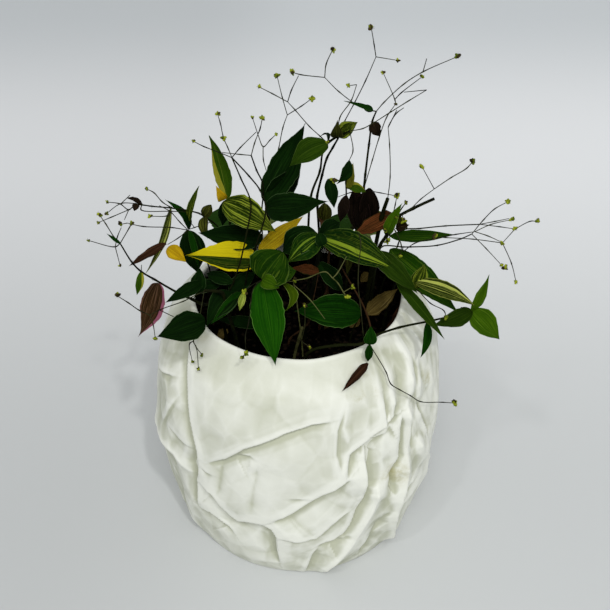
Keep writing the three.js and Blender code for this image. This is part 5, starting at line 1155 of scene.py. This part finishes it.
# A stem that lies over the right rim, with bright leaves at its end.
grow("shoot_right_low", "green_leaf",
     rooted([(2, -38, 116), (5.5, -42, 130.5), (16, -43.5, 135), (27, -43.5, 136), (29, -42.5, 137),
             (33, -41, 138.5), (43, -36, 138.5), (55.5, -32, 138.5), (67.5, -28, 138.5),
             (70, -27.5, 139), (75, -26, 139.5)], 0.65, 0.36),
     leaf((75, -26, 139.5), (80.5, -24, 157.5), 5, 1, 20, "fresh"),
     leaf((75, -26, 139.5), (86.5, -35, 131), 11, 1, 0, "fresh"),
     leaf((75, -26, 139.5), (56.5, -38, 141.5), 7.5, 0, 0, "moss", 1),
     stem([(70, -27.5, 139), (70.5, -26, 141.5)], 0.7, 0.36),
     bud((69.5, -29, 137.5), 3),
     leaf((55.5, -32, 138.5), (53, -38, 123), 4, 0, 20, "green", 1.5),
     leaf((30, -44, 136), (30.5, -41, 143.5), 5.5, 2, 0, "green"),
     leaf((30, -44, 136), (29.5, -46, 128), 3.5, 1.5, 0, "green"),
     thread([(29, -42.5, 137), (30, -44, 136), (37.5, -47, 123), (39.5, -50, 119), (43.5, -50.5, 116),
             (49, -47, 109), (54, -44, 102.5), (66.5, -33, 91), (72, -33, 90.5)], 3.4),
     thread([(67.5, -28, 138.5), (69.5, -29, 137.5)]))
grow("leaf_brown_hanging", "dry_brown", leaf((29.5, -47.5, 128.5), (18.5, -58, 122.5), 4, -1, 20, "brown"))

# An upright stem right of the middle with a dried orange leaf.
grow("shoot_right_mid", "green_leaf",
     rooted([(33, 12, 116), (37.5, 10, 165), (39.5, 10, 174)], 1.0, 0.8),
     thread([(39.5, 10, 174), (40, 11, 184), (39, 13, 198.5), (38, 14, 206)]),
     thread([(38, 14, 206), (38.5, 14, 207.5), (41, 14, 212.5), (44, 14, 215)]),
     thread([(38.5, 14, 207.5), (41, 13, 214.5)]),
     leaf((42.5, 9, 166), (24.5, 3, 160), 9.5, -3, 20, "orange", -0.5),
     leaf((42.5, 9, 166), (50, 12, 156.5), 4, 1, 20, "olive"),
     thread([(37.5, 10, 165), (42.5, 9, 166)]))

# A stout stem to the right with three leaves and many small buds.
grow("shoot_right_sprays", "green_leaf",
     rooted([(34, 2, 116), (36.5, 1, 155), (39, 0.5, 160.5), (39.5, 0.5, 162), (41, 0.5, 166),
             (43, 0, 170.5), (49.5, 0, 175), (58, -1, 180.5)], 0.75, 0.65),
     thread([(43, 0, 170.5), (45, -1, 172.5), (46.5, -2, 174), (52, -3, 181.5), (57, -4, 187)]),
     thread([(57, -4, 187), (51, -4, 197.5)], 2.8),
     thread([(57, -4, 187), (63, -6, 193.5), (68.5, -8, 199), (70.5, -8, 202)], 3),
     bud((43, 0, 170.5), 2.6),
     leaf((39, 0.5, 160.5), (45, 2, 176.5), 5.5, 1.5, -20, "fresh"),
     leaf((40.5, -1, 161.5), (68.5, -6, 165.5), 5.5, 2, 15, "veined"),
     leaf((43, 0, 164.5), (48.5, -2, 168), 4, 1, 0, "dark_brown"),
     bud((45.5, -3, 170.5), 3),
     bud((39, -4, 161), 3),
     thread([(43, 0, 170.5), (41.5, 1, 170.5), (42, 2, 175.5), (42.5, 2, 180.5)], 3),
     thread([(43, 0, 170.5), (45, 2, 174), (46.5, 2, 176.5)], 2.4),
     thread([(41, 0.5, 166), (42.5, -3, 165), (45, -6, 160), (44.5, -8, 155.5)], 2.6),
     thread([(39.5, 0.5, 162), (40.5, -1, 161.5), (38, -1, 164.5)], 2.6),
     thread([(41, 0.5, 166), (43, 0, 164.5)]),
     thread([(45, -1, 172.5), (45.5, -3, 170.5)]),
     thread([(40.5, -1, 161.5), (39, -4, 161)]))

# A thin stem that arches out to the right and ends in a spray.
grow("shoot_right_long", "green_leaf",
     rooted([(32, -8, 116), (35, -7, 154), (36.5, -7, 160), (45.5, -8, 160.5), (48.5, -8, 160.5),
             (60, -9, 162), (69.5, -10, 166), (74, -10, 168.5)], 0.32, 0.25),
     thread([(74, -10, 168.5), (78, -10, 175.5), (82, -10, 181), (87, -10, 184.5)], 2.6),
     thread([(74, -10, 168.5), (80.5, -12, 162.5), (88, -14, 155)], 2),
     bud((89.5, -14.5, 154), 3),
     thread([(45.5, -8, 160.5), (45.5, -9, 159), (50, -11, 164.5), (59, -13, 168.5), (66.5, -14, 171),
             (74, -15, 173)]),
     thread([(74, -15, 173), (80, -15, 176.5), (88.5, -15, 179)], 2.6),
     thread([(74, -15, 173), (79.5, -16, 171.5), (84.5, -17, 169.5)]),
     bud((58, -13, 169), 3),
     thread([(88, -14, 155), (89.5, -14.5, 154)]))

# The thin stem that reaches farthest right.
grow("shoot_right_far", "green_leaf",
     rooted([(38, 10, 116), (45.5, 8, 151), (47, 6, 160), (54, 5, 161.5), (65, 4, 163.5),
             (80, 3, 165)], 0.32, 0.25),
     thread([(80, 3, 165), (86.5, 3, 166.5), (92.5, 3, 168)]),
     thread([(80, 3, 165), (88.5, 1, 165), (95, 0, 164.5)], 2.6),
     thread([(95, 0, 164.5), (101, 0, 168.5), (104, 0, 168.5)], 2.8),
     thread([(95, 0, 164.5), (90, -2, 158.5)], 2.4),
     thread([(90, -2, 158.5), (95, -4, 149), (98.5, -5, 139)], 2.4),
     thread([(90, -2, 158.5), (77.5, 1, 158.5), (65.5, 3, 158), (54.5, 5, 157.5), (47.5, 6, 157)]))

# A crinkled green leaf on the right that reaches over the rim.
grow("shoot_right_dark", "green_leaf",
     rooted([(40, -6, 116), (44.5, -2, 148), (41, 1, 153)], 0.7, 0.36),
     leaf((41, 1, 153), (71, -20, 133.5), 12, 4, 20, "veined", 1))
grow("leaf_yellow_striped", "yellow_leaf",
     leaf((49.5, -25.5, 155), (75, -31, 146), 7, 4, 10, "yellow_striped", 1.5),
     leaf((50, -25.5, 151.5), (53.5, -20, 160), 7, 3, 0, "striped"))

# Back shoots: two low leafy stems behind the middle, live like the others, which rise from the soil
# and droop over the back rim. Their leaves sit on alternate sides, with seeded lengths and directions.

BACK_LEAF_LENGTH = 29
BACK_LEAF_WIDTH = 13
BACK_STEM = [(0, 0, 0), (3, 5, 13), (7, 14, 23), (12, 26, 21), (15, 37, 8)]

# Each leaf: the corner of the stem that it grows from, how far to the side it leans, and its droop.
BACK_LEAVES = [(2, -1, 0), (3, 1, 0.1), (3, -1, 0.2), (4, 0.3, 0.4)]


def back_shoot(name, x, y, spread, seed):
    """The same stem, its steps to the right times the spread, with four seeded leaves."""
    draw = seeded_draw(seed)
    path = [(x + spread * dx, y + dy, SOIL_TOP + 3 + dz) for dx, dy, dz in BACK_STEM]
    parts = [rooted(path, 0.9, 0.6)]
    for corner, side, droop in BACK_LEAVES:
        length = BACK_LEAF_LENGTH * (0.8 + 0.35 * next(draw))
        out = side * (0.55 + 0.35 * next(draw))
        drop = -droop - 0.3 * next(draw)
        px, py, pz = path[corner]
        tip = (px + out * length, py + 0.45 * length, pz + drop * length)
        width = BACK_LEAF_WIDTH * (0.8 + 0.4 * next(draw))
        parts.append(leaf(path[corner], tip, width, 2, 180, "striped" if side > 0 else "green"))
    grow(name, "green_leaf", *parts)


back_shoot("shoot_back_left", -18, 27, -1.1, 3)
back_shoot("shoot_back_right", 18, 24, 1.1, 21)

# Dried stems and scraps: bare brown stems that died and still stand or lean in the middle, rooted
# in the soil, with shrunken leaves on them, and dry curled bits of leaf that lie on the soil.

grow("dried_stems", "dry_brown",
     rooted([(10, -8, 116), (13, -7, 136), (14, -4, 156), (18, -2, 168)], 0.6, 0.4, "stem_dry"),
     thread([(13, -7, 136), (19, -8, 150), (21, -7, 163)], finish="stem_dry"),
     rooted([(20, -6, 116), (18, -7, 126), (13, -7, 136), (8, -5, 150)], 0.5, 0.35, "stem_dry"),
     rooted([(34, -21, 116), (31, -14, 128), (19, -8, 150)], 0.5, 0.35, "stem_dry"),
     rooted([(34, -21, 116), (39, -21.5, 121)], 0.5, 0.5, "stem_dry"),
     rooted([(-4, -18, 116), (4, -18, 125), (13, -7, 136)], 0.5, 0.35, "stem_dry"),
     thread([(4, -18, 125), (7, -19, 142), (9, -18, 154.5)], finish="stem_dry"),
     leaf((9, -18, 154.5), (-3, -20, 158), 5, 1, 0, "orange"),
     leaf((14, -4, 156), (9, -1, 171), 10, 1.5, 30, "brown"),
     leaf((19, -8, 150), (22, -10, 160), 7, 1, 60, "dark_brown"),
     leaf((31, -14, 128), (45, -8, 138), 7.5, 1, 0, "dry_tan"),
     leaf((39, -21.5, 121), (46, -8.5, 131), 10, 1, 20, "brown", -3),
     leaf((18, -7, 126), (12, -14, 119), 8, 1.5, 0, "dry_tan"))
grow("scrap_right", "dry_tan", leaf((31, 29, 114.2), (36, 35, 114.8), 5, 1, 0, "dry_tan"))
grow("scrap_front_right", "dry_tan", leaf((24, -7, 114.3), (29, -1, 115), 4.5, 1, 0, "dry_tan"))
grow("scrap_left", "dry_tan", leaf((-37, -15, 113.7), (-33, -8, 114.2), 4.5, 1, 0, "dry_tan"))

# Floor, light and camera: a pale table that sweeps up far behind, with painted light that makes it brightest
# 40 cm back, a small lamp high on each side, a large soft one in front, and a camera that looks down at 38
# degrees.

# Floor colours near the camera, in the bright band 40 cm back, and far back: the steps between them are
# painted light and shade.
FLOOR_NEAR = (0.555, 0.57, 0.57)
FLOOR_PAINTED_LIGHT_BAND = (0.77, 0.78, 0.79)
FLOOR_FAR = (0.62, 0.645, 0.66)
ROOM_COLOUR = (0.97, 0.99, 1)
ROOM_STRENGTH = 0.48
LAMP_AIM = (0, 0, 0.1)
LENS_LENGTH = 49.45
CAMERA_PLACE = (0.003, -0.308, 0.3661)
CAMERA_AIM = (0.0031, 0, 0.1221)


def sweep_floor():
    """A flat sheet that curves up into a wall along a quarter circle."""
    turn = np.linspace(0, np.pi / 2, 24)
    depth = np.concatenate([[-2.5], 2.2 + 0.8 * np.sin(turn), [3.0]])
    height = np.concatenate([[0], 0.8 * (1 - np.cos(turn)), [3.0]])
    x = np.array([-4.0, 4.0])
    points = np.stack(np.broadcast_arrays(x[None, :], depth[:, None], height[:, None]), -1).reshape(-1, 3)
    row = np.arange(len(depth) - 1)[:, None] * 2
    quads = np.concatenate([row, row + 1, row + 3, row + 2], 1)
    return points * 1000, quads


def floor_finish():
    """Pale grey with painted light and shade: it brightens to 40 cm behind the pot, darkens beyond it, and is
    paler on the right.
    """
    material, tree, shader = finish_with("floor_pale", 0.6, 0.2)
    parts = tree.nodes.new("ShaderNodeSeparateXYZ")
    tree.links.new(wire(tree, "TexCoord", out="Object"), parts.inputs[0])
    # Painted light: the colour rises to the band, falls beyond it, and is paler on the right.
    rise, fall = ramp(tree, parts.outputs[1], -0.05, 0.4), ramp(tree, parts.outputs[1], 0.41, 0.75)
    right = ramp(tree, parts.outputs[0], -0.14, 0.03)
    near = blend(tree, rise, FLOOR_NEAR + (1,), FLOOR_PAINTED_LIGHT_BAND + (1,))
    far = blend(tree, fall, near, FLOOR_FAR + (1,))
    painted_side_light = calculator(tree)("MULTIPLY_ADD", right, 0.115, 0.935)
    shaded = wire(tree, "VectorMath", {0: far, 3: painted_side_light}, operation="SCALE")
    tree.links.new(shaded, shader.inputs["Base Color"])
    return material


points, quads = sweep_floor()
floor = make_piece("floor", points, quads, np.zeros((0, 3), int), [floor_finish()])


def facing(place, aim):
    """The turn that points an object's own minus Z from its place to where it aims."""
    return (Vector(aim) - Vector(place)).to_track_quat("-Z", "Y").to_euler()


def soft_lamp(name, place, size, power, colour):
    """A square lamp that faces the plant."""
    data = bpy.data.lights.new(name, "AREA")
    data.shape, data.size, data.energy, data.color = "SQUARE", size, power, colour
    lamp = bpy.data.objects.new(name, data)
    lamp.location = place
    lamp.rotation_euler = facing(place, LAMP_AIM)
    bpy.context.scene.collection.objects.link(lamp)


soft_lamp("lamp_right", (0.9, -2.1, 3.2), 0.14, 31, (1, 1, 0.99))
soft_lamp("lamp_left", (-1.2, -1.6, 2.9), 0.2, 9, (0.99, 1, 1))
soft_lamp("lamp_front", (0, -2.2, 3.2), 1.8, 56, (1, 1, 1))

world = bpy.data.worlds.new("room")
world.use_nodes = True
world.node_tree.nodes["Background"].inputs["Color"].default_value = ROOM_COLOUR + (1,)
world.node_tree.nodes["Background"].inputs["Strength"].default_value = ROOM_STRENGTH
bpy.context.scene.world = world
bpy.context.scene.view_settings.view_transform = "Standard"

camera_data = bpy.data.cameras.new("camera")
camera_data.sensor_width = 36
camera_data.lens = LENS_LENGTH
camera = bpy.data.objects.new("camera", camera_data)
camera.location = CAMERA_PLACE
camera.rotation_euler = facing(camera.location, CAMERA_AIM)
bpy.context.scene.collection.objects.link(camera)
bpy.context.scene.camera = camera
